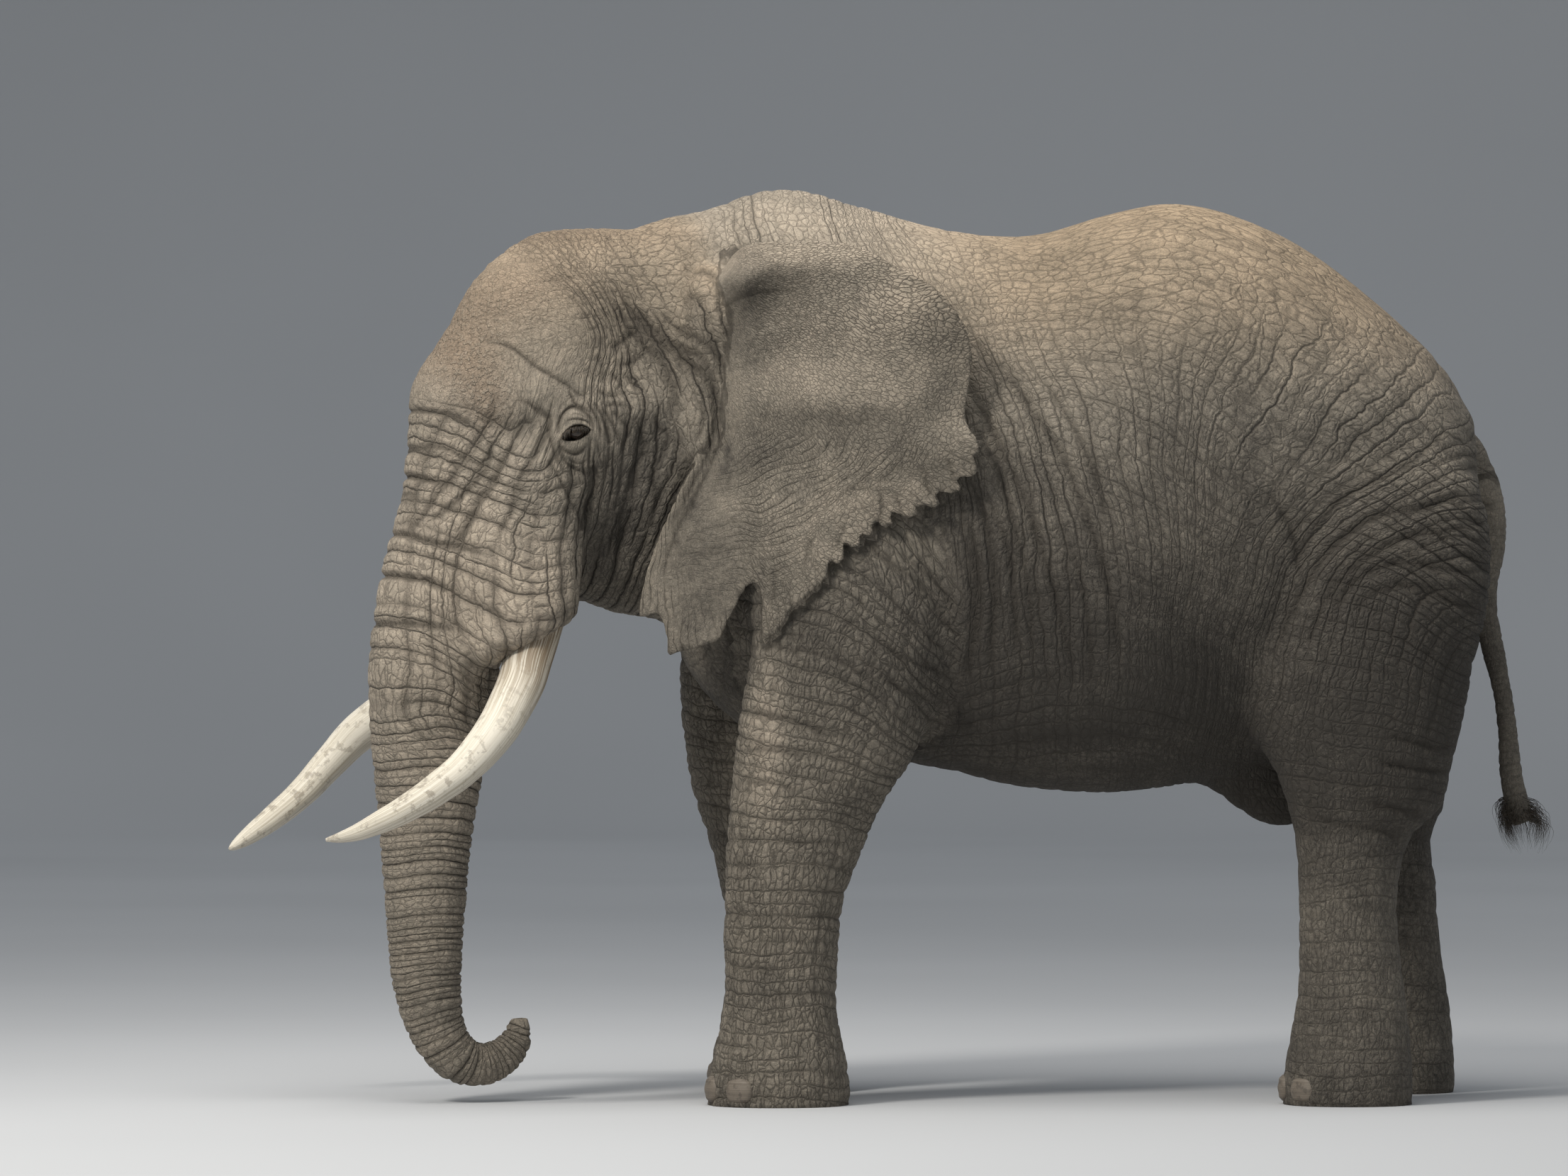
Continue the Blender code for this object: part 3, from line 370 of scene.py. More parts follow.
def earReach(angle):  # how far out the ear's edge lies at an angle in degrees, tears and scallops cut in
    knots = np.array(ear["edge"], float)
    turned = np.vstack([knots[-3:] - (360, 0), knots, knots[:3] + (360, 0)])
    fine = smoothRows(turned, 6)
    reach = np.interp(angle, fine[:, 0], fine[:, 1])
    low = np.array(ear["lowEdge"])
    torn = (angle > low[0, 0]) & (angle < low[-1, 0])
    reach = np.where(torn, np.interp(angle, low[:, 0], low[:, 1]), reach)
    for spot, depth, half in ear["tears"]:
        away = np.abs((angle - spot + 180) % 360 - 180)
        reach = reach - depth * np.clip(1.15 * (1 - away / half), 0, 1)
    ragged = (0.35 + 0.65 * ease(272, 285, angle)) * ease(225, 250, angle) \
        * (1 - ease(352, 360, angle))
    size, change = ear["scallops"]
    return reach + ragged * (size + change * (cloudOf(angle * 0.3, 0 * angle, 5) - 0.5))


def earPolar(x, z):  # angle in degrees and distance about the ear's middle
    across, up = x - ear["middle"][0], z - ear["middle"][1]
    return np.degrees(np.arctan2(up, across)) % 360, np.hypot(across, up)


# Distance of the left ear's sheet from the midline: a slope plus bells for its bowl, shelf and flange, and
# pleats; a soft maximum, s log(e^(a/s) + e^(b/s)), keeps it off the arm behind it
def earDepth(x, z):
    back = np.clip((x + 0.62) / 0.9, 0, 1)
    upper = ease(2.2, 2.36, z)
    out = 0.52 + 0.22 * back ** 0.8 - 0.035 * bump(x, -0.4, 0.17) * bump(z, 2.62, 0.22)
    out = out - 0.13 * upper * ease(-0.5, -0.66, x)
    out = out - 0.035 * (1 - upper) * ease(-0.62, -0.9, x)
    out = out - 0.075 * ease(2.72, 3.02, z) - 0.05 * np.clip((z - 2.92) / 0.1, 0, 1) ** 2
    out = out - 0.1 * ease(2.84, 2.98, z) * ease(-0.42, -0.58, x)
    flangeLine = 2.905 - 0.12 * np.clip(x + 0.2, 0, 1) - 0.05 * ease(-0.4, -0.6, x)
    flange = bump(z, flangeLine, 0.06) * (1 - 0.85 * ease(-0.38, -0.1, x))
    flange = flange * (1 - ease(0.02, 0.22, x))
    hollow = bump(z, flangeLine - 0.135, 0.065) * (1 - ease(-0.46, -0.22, x))
    shelf = np.where(z > 2.43, bump(z, 2.43, 0.13), bump(z, 2.43, 0.055)) * bump(x, -0.22, 0.36)
    rim = ease(0.08, 0.26, x) * ease(2.25, 2.42, z) * (1 - ease(2.7, 2.85, z))
    angle, far = earPolar(x, z)
    pleats = ease(0.25, 0.6, far) * ease(250, 285, angle) * (1 - ease(352, 360, angle))
    wave = np.sin(np.radians(angle * 11.5)) * 0.5 + np.sin(np.radians(angle * 5.3 + 40)) * 0.8
    ripples = ear["ripple"] * (cloudOf(x * 17 + 9 * z, z * 36 - 8 * x, 7) - 0.5)
    ripples = ripples * (1 - ease(2.3, 2.42, z))
    out = out + ear["flange"] * flange - ear["hollow"] * hollow + ear["shelf"] * shelf - ear["rim"] * rim
    out = out + ear["pleat"] * pleats * wave + ripples
    frontEdge, backEdge, apart, half, _ = legAt(foreleg, 1, z, 4)
    along = (2 * x - frontEdge - backEdge) / (backEdge - frontEdge)
    arm = apart + half * np.sqrt(np.clip(1 - along ** 2, 0, 1)) - 0.3 * np.maximum(np.abs(along) - 1, 0)
    return 0.02 * np.logaddexp(out / 0.02, (arm + ear["clear"]) / 0.02)


def earPlace(points, side):  # from the left ear's own (x, out, height) to the body, side 1 for the left
    x, out, z = points[..., 0], points[..., 1], points[..., 2]
    if side > 0:
        return np.stack([x, -out, z], -1)
    found = bodyToHead(np.stack([x, -out, z], -1))
    cos, sin = cosSin(ear["fold"])
    back, wide = ear["hinge"][0] - found[..., 0], found[..., 1] - ear["hinge"][1]
    low = ear["middle"][1]
    hung = np.where(z < low, low + (z - low) * ear["hang"], z) + ear["rise"]
    return headToBody(ear["hinge"][0] - (back * cos + wide * sin),
                      -(ear["hinge"][1] + wide * cos - back * sin), hung)


def earLocal(points, side):  # the way back from the body to the left ear's own (x, out, height)
    if side > 0:
        return np.stack([points[..., 0], -points[..., 1], points[..., 2]], -1)
    found = bodyToHead(points)
    cos, sin = cosSin(ear["fold"])
    p, q = ear["hinge"][0] - found[..., 0], -found[..., 1] - ear["hinge"][1]
    flat = headToBody(ear["hinge"][0] - (p * cos - q * sin), ear["hinge"][1] + (p * sin + q * cos), 0 * p)
    low, z = ear["middle"][1], found[..., 2] - ear["rise"]
    return np.stack([flat[..., 0], -flat[..., 1], np.where(z < low, low + (z - low) / ear["hang"], z)], -1)


def earSheet(side):  # two sheets of spokes and rings about the ear's middle, joined at the rim
    angle = (np.arange(ear["spokes"]) * (360 / ear["spokes"]))[None, :]
    level = (np.arange(ear["rings"] + 1) / ear["rings"])[:, None] ** 0.85
    reach = earReach(angle) * level
    x = ear["middle"][0] + reach * np.cos(np.radians(angle))
    z = ear["middle"][1] + reach * np.sin(np.radians(angle))
    thick = 0.5 * ear["thickness"] * (1.3 - 0.42 * level) + 0.008 * bump(z, 2.93, 0.08)
    outer = np.stack([x, earDepth(x, z) + thick, z], -1)[1:]
    inner = np.stack([x, earDepth(x, z) - thick, z], -1)[1:]
    return closedTube(earPlace(np.concatenate([outer, inner[::-1]]), side))


def fleshSurfaces():
    made = [longLoft(torso["rows"]), longLoft(neck["rows"]), longLoft(groinSheath["rows"]),
            longLoft(jaw["rows"], True), tallLoft(skull["rows"]), tallLoft(trunkRoot["rows"]),
            headPipe(trunk["rows"]), headPipe(trunk["upperFinger"]), headPipe(trunk["lowerFinger"])]
    for side in (1, -1):
        made += [tallLoft(part["rows"], side) for part in (tuskSheath, earRoot, cheekbone)]
        made += [legLoft(part, side) for part in (foreleg, hindleg)]
    return made


def meltedBody():
    first = remade(meshOf("flesh", joined(fleshSurfaces())), "flesh",
                   [("REMESH", dict(mode="VOXEL", voxel_size=skinMaking["firstVoxel"])),
                    ("SMOOTH", dict(factor=0.5, iterations=skinMaking["firstSmoothing"]))])
    rows = smoothRows(tail["rows"], skinMaking["steps"])
    wide = rows[:, 3] + skinMaking["tailExtra"]  # smoothing will thin it again
    tailTube = closedTube(pipeRings(rows[:, :3], wide, skinMaking["tailAround"]))
    work = bmesh.new()
    work.from_mesh(first)
    work.from_mesh(meshOf("extras", joined([earSheet(1), earSheet(-1), tailTube])))
    work.to_mesh(first)
    work.free()
    return remade(first, "skin", [("REMESH", dict(mode="VOXEL", voxel_size=skinMaking["voxel"])),
                                  ("SMOOTH", dict(factor=0.5, iterations=skinMaking["smoothing"]))])


# Lie of the skin: creases keep to two crossing families of lines, drawn on the side of the body, the foreleg
# and the face, and a field runs smoothly through each family. Each line is its value, then x and height in
# centimetres from point to point.

bodyLie = dict(
    down=((-0.5, -60, 310, -60, 230, -45, 150, -40, 90),
          (0.02, -20, 315, -10, 285, 2, 250, 10, 210, 12, 160, 10, 100),
          (0.36, 0, 310, 15, 280, 30, 245, 38, 210, 42, 180, 42, 115),
          (0.62, 30, 303, 40, 275, 52, 245, 62, 210, 68, 180, 70, 150, 68, 110),
          (0.82, 62, 306, 70, 280, 76, 250, 81, 220, 85, 190, 86, 150, 82, 110),
          (0.96, 100, 313, 98, 280, 95, 250, 96, 220, 97, 190, 95, 150, 90, 110),
          (1.1, 136, 300, 125, 275, 112, 245, 106, 220, 105, 190, 102, 150, 97, 110),
          (1.26, 166, 282, 150, 260, 135, 240, 120, 215, 113, 190, 108, 160, 104, 115),
          (1.44, 192, 256, 175, 245, 155, 225, 135, 205, 124, 180, 117, 150, 112, 115),
          (1.62, 206, 236, 190, 225, 170, 215, 150, 203, 136, 185, 128, 160, 122, 120),
          (1.76, 212, 218, 195, 215, 175, 206, 156, 193, 145, 175, 138, 150, 134, 100, 138, 50, 138, 0),
          (1.9, 213, 202, 200, 203, 180, 197, 163, 187, 154, 170, 148, 150, 144, 110, 147, 50, 147, 0),
          (2.05, 212, 190, 195, 192, 180, 186, 168, 172, 162, 150, 157, 110, 157, 50, 157, 0),
          (2.22, 210, 172, 197, 173, 186, 162, 178, 140, 172, 110, 168, 50, 168, 0),
          (2.38, 205, 160, 195, 150, 188, 130, 184, 100, 179, 50, 179, 0)),
    across=((0, -60, 308, 0, 305, 50, 300, 100, 308, 140, 295, 170, 275, 200, 248),
            (0.38, -60, 265, 0, 262, 50, 265, 100, 270, 130, 260, 155, 242, 178, 222, 210, 195),
            (0.78, -60, 225, 0, 220, 50, 228, 100, 230, 120, 220, 145, 205, 170, 193, 205, 170),
            (1.15, -60, 185, 0, 180, 50, 188, 100, 192, 120, 185, 145, 175, 170, 166, 200, 150),
            (1.55, -50, 145, 0, 142, 50, 150, 100, 152, 130, 142, 170, 135, 200, 125),
            (1.88, -50, 115, 0, 116, 50, 115, 100, 115, 130, 108, 160, 104, 195, 100),
            (2.15, 140, 75, 160, 78, 185, 75), (2.5, 140, 40, 185, 40), (2.9, 140, 0, 185, 0)))
armLie = dict(
    down=((0, -52, 200, -50, 160, -54, 130, -58, 100, -60, 60, -62, 0),
          (0.17, -30, 195, -33, 160, -39, 130, -44, 100, -48, 60, -50, 0),
          (0.34, -12, 195, -18, 160, -25, 130, -32, 100, -38, 60, -38, 0),
          (0.5, 5, 195, 0, 160, -10, 130, -20, 100, -28, 60, -27, 0),
          (0.62, 20, 190, 13, 160, 2, 130, -10, 100, -20, 60, -18, 0)),
    across=((0, -50, 212, -20, 208, 5, 195, 25, 172), (0.2, -50, 192, -20, 186, 0, 174, 20, 154),
            (0.38, -50, 172, -25, 169, -5, 158, 15, 140), (0.5, -50, 158, -25, 154, -5, 145, 10, 131),
            (0.72, -54, 137, -35, 132, -15, 127, 5, 117), (0.95, -56, 115, -35, 111, -15, 107, 0, 102),
            (1.2, -58, 90, -35, 88, -10, 86), (1.5, -60, 60, -18, 60), (1.85, -60, 25, -17, 25),
            (2.1, -62, 0, -17, 0)))
headLie = dict(
    down=((-0.1, -170, 240, -171, 210, -175, 180, -180, 150, -180, 120, -178, 80),
          (0.07, -150, 260, -155, 230, -160, 205, -163, 185, -165, 150, -166, 120, -165, 80),
          (0.18, -136, 260, -142, 230, -152, 208, -156, 185, -156, 160, -155, 130, -155, 80),
          (0.28, -126, 250, -133, 225, -143, 205, -149, 185, -147, 165, -142, 150),
          (0.38, -120, 235, -127, 215, -135, 198, -138, 180, -136, 168, -133, 158),
          (0.48, -117, 222, -120, 210, -124, 195, -125, 180, -123, 164),
          (0.58, -108, 215, -112, 198, -113, 185, -112, 170),
          (0.72, -100, 250, -99, 230, -100, 210, -100, 190), (0.82, -95, 270, -89, 245, -90, 220, -93, 190),
          (0.92, -98, 290, -89, 272, -82, 255, -78, 240, -80, 220, -86, 190),
          (1.03, -88, 295, -78, 272, -71, 250, -69, 230, -73, 210, -80, 185),
          (0.5, -125, 295, -115, 282, -106, 268), (0.25, -142, 285, -134, 272),
          (1.15, -72, 300, -66, 280, -60, 260)),
    across=((0, -145, 295, -120, 302, -90, 300, -65, 302),
            (0.33, -162, 265, -140, 266, -115, 273, -90, 276, -65, 275),
            (0.6, -172, 242, -150, 238, -138, 230, -128, 224, -112, 240, -90, 245),
            (0.82, -172, 220, -155, 217, -140, 210, -125, 202, -110, 205, -80, 220),
            (1.02, -174, 200, -155, 195, -140, 188, -125, 182, -110, 184, -85, 198),
            (1.18, -177, 186, -160, 182, -147, 175, -138, 169, -120, 168, -90, 180),
            (1.35, -182, 168, -162, 164, -150, 158, -143, 152),
            (1.5, -184, 151, -165, 152, -150, 148, -143, 143), (1.7, -183, 130, -165, 130, -146, 130),
            (2.2, -181, 80, -165, 80, -148, 80)))
# Single deep folds: depth and half width in millimetres, then x and height in centimetres from point to point
faceFolds = (
    (7, 9, -137, 265, -131, 263, -124, 256, -117, 251, -112, 247, -110, 244),
    (6, 9, -131, 245, -126, 243, -120, 238), (6, 8, -121, 224, -117, 217, -112, 209, -108, 202),
    (16, 17, -105, 222, -105, 213, -106, 204, -107, 199),
    (5, 8, -120, 239, -121, 232, -125, 225, -131, 217), (6, 8, -127, 224, -132, 213, -134, 204, -138, 198),
    (8, 11, -171, 232, -163, 242, -155, 241, -146, 238, -141, 234),
    (8, 10, -168, 227, -161, 228, -151, 228, -146, 225, -139, 221),
    (8, 10, -164, 222, -155, 217, -150, 215), (7, 9, -172, 214, -164, 213, -157, 212),
    (12, 12, -180, 199, -174, 199, -164, 199, -154, 195, -146, 193, -141, 190),
    (10, 11, -180, 185, -174, 185, -166, 184, -157, 182, -151, 178),
    (11, 12, -184, 167, -174, 167, -161, 167, -149, 165),
    (9, 10, -137, 230, -139, 221, -143, 215, -149, 208, -156, 202),
    (9, 10, -130, 230, -135, 223, -138, 215, -142, 209, -146, 200, -150, 192),
    (8, 9, -149, 224, -148, 219, -152, 213, -157, 204, -160, 199),
    (7, 9, -102, 243, -99, 239, -95, 234, -96, 229, -96, 217, -97, 202),
    (9, 10, -94, 239, -90, 232, -89, 226, -92, 220, -94, 204, -93, 188),
    (8, 10, -87, 240, -85, 235, -82, 232, -84, 223, -86, 217, -84, 209, -86, 200),
    (6, 8, -104, 239, -101, 230, -101, 221, -102, 210),
    (10, 11, -97, 279, -91, 267, -84, 259, -81, 250, -79, 240),
    (14, 13, -94, 281, -86, 267, -78, 259, -72, 249, -70, 239, -71, 230, -76, 223, -78, 215, -80, 204,
     -84, 196), (12, 12, -90, 276, -81, 265, -74, 259, -69, 245, -68, 234, -67, 227, -69, 217, -74, 209),
    (10, 11, -82, 275, -76, 267, -70, 260, -64, 252), (7, 9, -75, 245, -74, 237, -76, 230),
    (9, 12, -74, 292, -66, 287, -58, 284, -50, 284), (6, 9, -100, 262, -94, 266, -88, 270),
    (6, 9, -98, 256, -92, 258, -86, 263), (5, 7, -105, 260, -103, 255, -104, 250),
    (5, 7, -101, 255, -98, 251, -99, 246), (5, 7, -96, 254, -93, 250, -93, 245),
    (5, 7, -106, 248, -101, 246, -96, 247), (5, 7, -103, 242, -99, 243, -94, 241))
bodyFolds = (
    (12, 14, 20, 262, 28, 246, 36, 230, 45, 210, 55, 180, 62, 150),
    (12, 14, 36, 258, 47, 242, 58, 225, 68, 200, 75, 175, 78, 150),
    (9, 12, 27, 238, 36, 220, 42, 200, 47, 175, 48, 152), (9, 12, 52, 252, 62, 235, 70, 216, 73, 200),
    (12, 13, 24, 222, 30, 208, 34, 192, 35, 172, 33, 150), (10, 12, 33, 210, 39, 195, 42, 175, 42, 155),
    (14, 16, 26, 202, 28.5, 188, 29, 174, 27, 158, 22, 142), (8, 11, 60, 198, 65, 180, 68, 160, 68, 142),
    (9, 11, 195, 236, 178, 222, 158, 212, 146, 200, 138, 186),
    (12, 13, 200, 214, 186, 208, 170, 205, 156, 197, 146, 186, 138, 172, 131, 155),
    (10, 12, 206, 202, 190, 199, 174, 196, 160, 188, 150, 176, 143, 160),
    (10, 12, 208, 186, 195, 185, 180, 188, 166, 186, 155, 177, 148, 164),
    (9, 12, 208, 172, 194, 174, 180, 180, 166, 178, 158, 170), (9, 12, 130, 212, 138, 198, 140, 184),
    (7, 10, 210, 224, 198, 226, 184, 220), (7, 10, 212, 208, 204, 210, 194, 208),
    (10, 11, 170, 129, 180, 126, 188, 124, 195, 124), (10, 11, 168, 119, 178, 117, 188, 116, 194, 116),
    (8, 12, 158, 106, 170, 104, 182, 100, 190, 95), (8, 12, 142, 102, 152, 98, 166, 96, 178, 91))
armFolds = (
    (8, 10, -10, 195, 10, 180, 22, 162), (7, 10, -50, 160, -20, 155, 0, 140),
    (7, 10, -52, 137, -35, 134, -20, 127), (7, 9, 2, 192, 14, 182, 24, 168),
    (6, 9, -5, 162, 6, 154, 18, 150), (6, 9, -8, 150, 4, 144, 15, 140),
    (6, 9, -54, 124, -42, 123, -30, 121), (6, 9, -54, 112, -42, 112, -32, 109))
# On the ear's sheet, where ridges have a depth below nought
earFolds = (
    (-6, 8, -35, 205, -25, 209, -17, 213, -11, 218, -5, 221, 3, 224),
    (-5, 7, -31, 214, -22, 213.5, -12, 215, -3, 214, 4, 217),
    (-5, 7, -28, 200, -20, 204, -12, 208, -5, 213), (-5, 7, 9, 242, 15, 233, 20, 226),
    (-5, 7, 3, 237, 10, 227, 17, 218), (7, 9, -5, 214, -4, 206, -7, 198), (6, 8, 1, 212, 3, 203),
    (6, 8, 10, 220, 13, 210), (6, 8, 18, 224, 22, 214), (6, 8, -16, 203, -20, 192),
    (5, 8, -28, 197, -31, 185), (5, 8, -40, 188, -42, 172),
    (8, 9, -77, 200, -72, 210, -68, 218, -64, 227, -62.5, 238),
    (7, 9, -72, 202, -68, 212, -64, 220, -60, 230), (6, 8, -80, 184, -76, 196, -71, 207),
    (5, 9, -62, 274, -54, 279, -46, 281, -34, 282))
# Creases: spacing and wandering of the lines in metres; strengths of the down, across and cell creases; half
# widths of the grooves as shares of the spacing, and their depths; and spots where the lines run stronger,
# each (middle x, middle height, half length, half height, amount)
lieMaking = dict(spacing=0.045, earSpacing=0.03, tailSpacing=0.022, waver=0.045, smallWaver=0.016,
                 closer=28.0, tilt=0.55, body=(0.52, 0.46, 0.5), limbs=(0.35, 0.6, 0.5),
                 trunk=(0.14, 1.0, 0.5), arms=(0.5, 0.8, 0.7), tails=(0.15, 0.35, 0.3), half=0.24,
                 wideHalf=0.17, cellHalf=0.34, faceDeeper=1.25, faceNarrower=0.9, depth=0.0034,
                 wideDepth=0.0052, cellDepth=0.003, darkDepth=0.012, waves=0.012, smallWaves=0.005,
                 downSpots=((0.48, 2.05, 0.38, 0.65, 0.55), (1.9, 1.95, 0.3, 0.4, 0.5),
                            (1.5, 2.25, 0.45, 0.45, 0.55), (1.55, 1.6, 0.4, 0.4, 0.35),
                            (-0.3, 3.05, 0.3, 0.2, 0.4)),
                 acrossSpots=((0.9, 2.3, 0.3, 0.4, 0.25), (1.9, 1.9, 0.35, 0.4, 0.95),
                              (1.7, 1.1, 0.3, 0.35, 0.3), (0.5, 1.3, 0.6, 0.2, 0.5)))
# paleness of the skin: partly dust, partly painted light and shade
dustAndShadeLook = dict(low=0.16, high=0.3, top=0.34, arms=0.26, feet=0.1, tail=0.24, face=0.52, faceTop=0.2,
                ears=0.53, earTop=0.04, patches=0.18, earPatches=0.16,
                # of these spots, the dark ones on the belly, the thigh and between the hind legs are painted
                # shade
                bodySpots=((0.0, 3.05, 0.5, 0.25, 0.1), (0.6, 1.45, 0.6, 0.35, -0.26),
                           (1.75, 1.5, 0.35, 0.5, -0.24), (-0.44, 1.25, 0.07, 0.35, 0.4),
                           (1.3, 1.15, 0.3, 0.2, -0.12), (0.3, 1.9, 0.12, 0.4, -0.12),
                           (-0.3, 2.95, 0.3, 0.2, 0.1), (1.4, 1.95, 0.16, 0.25, -0.06),
                           (0.6, 3.0, 0.4, 0.15, -0.13), (0.85, 2.5, 0.35, 0.3, -0.04),
                           (1.07, 2.98, 0.3, 0.15, 0.06), (0.53, 1.2, 0.5, 0.1, 0.07),
                           (1.95, 1.98, 0.2, 0.35, 0.08)),
                faceSpots=((0.72, 2.6, 0.22, 0.25, -0.04), (0.26, 2.2, 0.14, 0.4, -0.28),
                           (1.0, 1.95, 0.26, 0.6, 0.33), (0.66, 1.78, 0.16, 0.22, 0.53),
                           (0.38, 1.95, 0.12, 0.3, -0.22), (0.28, 2.68, 0.14, 0.12, -0.18),
                           (0.32, 2.45, 0.14, 0.1, 0.18), (0.95, 1.0, 0.3, 0.6, 0.22),
                           (0.56, 2.62, 0.16, 0.12, -0.06), (0.45, 2.95, 0.25, 0.1, 0.06)),
                rustSpots=((0.87, 2.62, 0.12, 0.16, 0.75), (0.8, 2.44, 0.07, 0.1, 0.5),
                           (0.74, 2.82, 0.2, 0.12, 0.5), (0.48, 3.04, 0.42, 0.06, 0.55),
                           (0.55, 2.9, 0.16, 0.08, 0.25)),
                # of these spots, the dark one under the front of the flange is a painted shadow, and the thin
                # one along the back rim is painted shade
                earSpots=((-0.2, 2.52, 0.3, 0.1, 0.16), (-0.51, 2.74, 0.11, 0.17, -0.24),
                          (0.21, 2.52, 0.05, 0.13, -0.1), (-0.66, 1.9, 0.16, 0.3, -0.12),
                          (-0.2, 2.34, 0.3, 0.06, -0.12), (-0.57, 2.27, 0.014, 0.035, -0.35),
                          (-0.58, 2.2, 0.016, 0.014, -0.3), (-0.69, 2.09, 0.02, 0.016, -0.3),
                          (-0.75, 1.96, 0.014, 0.012, -0.3), (-0.1, 2.1, 0.25, 0.1, 0.08),
                          (0.04, 2.8, 0.18, 0.12, 0.24), (-0.16, 2.7, 0.17, 0.08, 0.2),
                          (-0.5, 2.26, 0.12, 0.09, -0.24)))
skinLook = dict(core=0.09, coreSpread=(0.55, 1.6), valley=0.24, cells=(1.5, 1.0, 1.5), fineCells=4.3,
                fineEdge=0.13, flakes=0.7, finer=2.37, thinEdge=0.2, mottling=(0.07, 0.08, 0.05),
                # coreDark, fineDark and hollowDark: how strongly painted shade darkens crease cores, fine
                # cracks and hollows
                coreDark=0.95, fineDark=0.13, hollowDark=0.7, valleyDepth=0.0052, coreDepth=0.0026,
                fineDepth=0.0013, gritDepth=0.001, speckDepth=0.0022, clodDepth=0.0075,
                colours=((0.0, (0.058, 0.052, 0.044)), (0.25, (0.132, 0.117, 0.096)),
                         (0.5, (0.242, 0.213, 0.17)), (0.75, (0.385, 0.33, 0.26)),
                         (1.0, (0.51, 0.43, 0.335))), warm=(1.1, 0.97, 0.82), rust=(0.235, 0.17, 0.118),
                # the two colours below: painted shade in the creases, and the wet eye rim darkened with
                # painted shade in its recess
                creaseShadeColour=(0.035, 0.03, 0.024), wetAndShade=(0.018, 0.015, 0.013))


def pairs(line, parts=100):  # a flat row of centimetres, or of other parts of a metre, as points in metres
    return np.reshape(line, (-1, 2)) / parts


def toFace(x, z):  # a place on the side of the face, brought into the head's own forward and up
    cos, sin = cosSin(stance["headTurn"])
    return (stance["headPivotX"] - x + stance["faceOut"] * sin) / cos, z


def lieField(lines, onFace=False):  # thin plate through drawn lines: a plane, and weights times r^2 log r
    rows = [(value, *(toFace(*spot) if onFace else spot)) for value, *line in lines for spot in pairs(line)]
    value, a, b = np.array(rows).T
    knots = np.stack([a, b], -1)

    def kernel(spots):
        far = ((spots[:, None, :] - knots[None, :, :]) ** 2).sum(-1) + 1e-12
        return 0.5 * far * np.log(far)

    flat = np.stack([np.ones(len(a)), a, b], -1)
    system = np.block([[kernel(knots) + 2e-4 * np.eye(len(a)), flat], [flat.T, np.zeros((3, 3))]])
    weights = np.linalg.solve(system, np.concatenate([value, np.zeros(3)]))

    def field(first, second):
        spots = np.array_split(np.stack([first, second], -1), len(first) // 20000 + 1)
        bent = np.concatenate([kernel(some) @ weights[:-3] for some in spots])
        return bent + weights[-3] + weights[-2] * first + weights[-1] * second

    return field


def alongPath(points, path):  # arc length at the nearest place on a path, and the distance to it
    ways = np.diff(path, axis=0)
    lengths, starts = np.linalg.norm(ways, axis=1), arcsOf(path)[:-1]
    best, where = np.full(len(points), 1e9), np.zeros(len(points))
    for spot, way, length, start in zip(path[:-1], ways, lengths, starts):
        share = np.clip((points - spot) @ way / length ** 2, 0, 1)
        away = np.linalg.norm(points - spot - share[:, None] * way, axis=1)
        closer = away < best
        best[closer], where[closer] = away[closer], (start + share * length)[closer]
    return where, best


def carve(a, b, line, depth, width):  # a groove along a smooth line, shallower towards its ends
    path = smoothRows(line, 8)
    low, high = path.min(axis=0) - 3 * width, path.max(axis=0) + 3 * width
    near = np.flatnonzero((a > low[0]) & (a < high[0]) & (b > low[1]) & (b < high[1]))
    where, away = alongPath(np.stack([a[near], b[near]], -1), path)
    length = np.linalg.norm(np.diff(path, axis=0), axis=1).sum()
    taper = np.sqrt(np.clip(np.minimum(where, length - where) / (0.25 * length), 0, 1))
    made = np.zeros(len(a))
    made[near] = depth * taper * np.exp(-(away / width) ** 1.6)
    return made


def legPlace(shape, points, side):  # distance from a leg's core, 1 on its surface, and x without its lean
    x, y, z = points.T
    front, back, out, half, lean = legAt(shape, side, z, 4)
    straight = x - lean
    ahead = (straight - 0.5 * (front + back)) / (0.5 * (back - front))
    return np.hypot(ahead, (-side * y - out) / half), straight


def trunkFrame(forward, z):  # length down the free trunk from its upper third, and distance behind its core
    path = smoothRows(trunk["rows"], 8)[:, [0, 2]]
    arcs, ways = arcsOf(path), unit(np.gradient(path, axis=0))
    where, _ = alongPath(np.stack([forward, z], -1), path)
    coreForward, coreUp, wayForward, wayUp = (np.interp(where, arcs, v) for v in (*path.T, *ways.T))
    start = arcs[np.argmin(np.abs(path[:, 1] - 1.3))]
    return where - start, (forward - coreForward) * wayUp - (z - coreUp) * wayForward


def earZone(points, side):  # share in an ear, angle and distance from its root, and place on its sheet
    local = earLocal(points, side)
    x, out, z = local.T
    angle, far = earPolar(x, z)
    near = 1 - ease(0.03, 0.05, np.abs(out - earDepth(x, z)))
    front = ease(-0.67, -0.59, x + 0.5 * (1 - ease(2.2, 2.36, z)))
    here = near * (1 - ease(0.02, 0.04, far - earReach(angle))) * front
    return here, np.arctan2(z - 2.95, x + 0.8), np.hypot(z - 2.95, x + 0.8), local


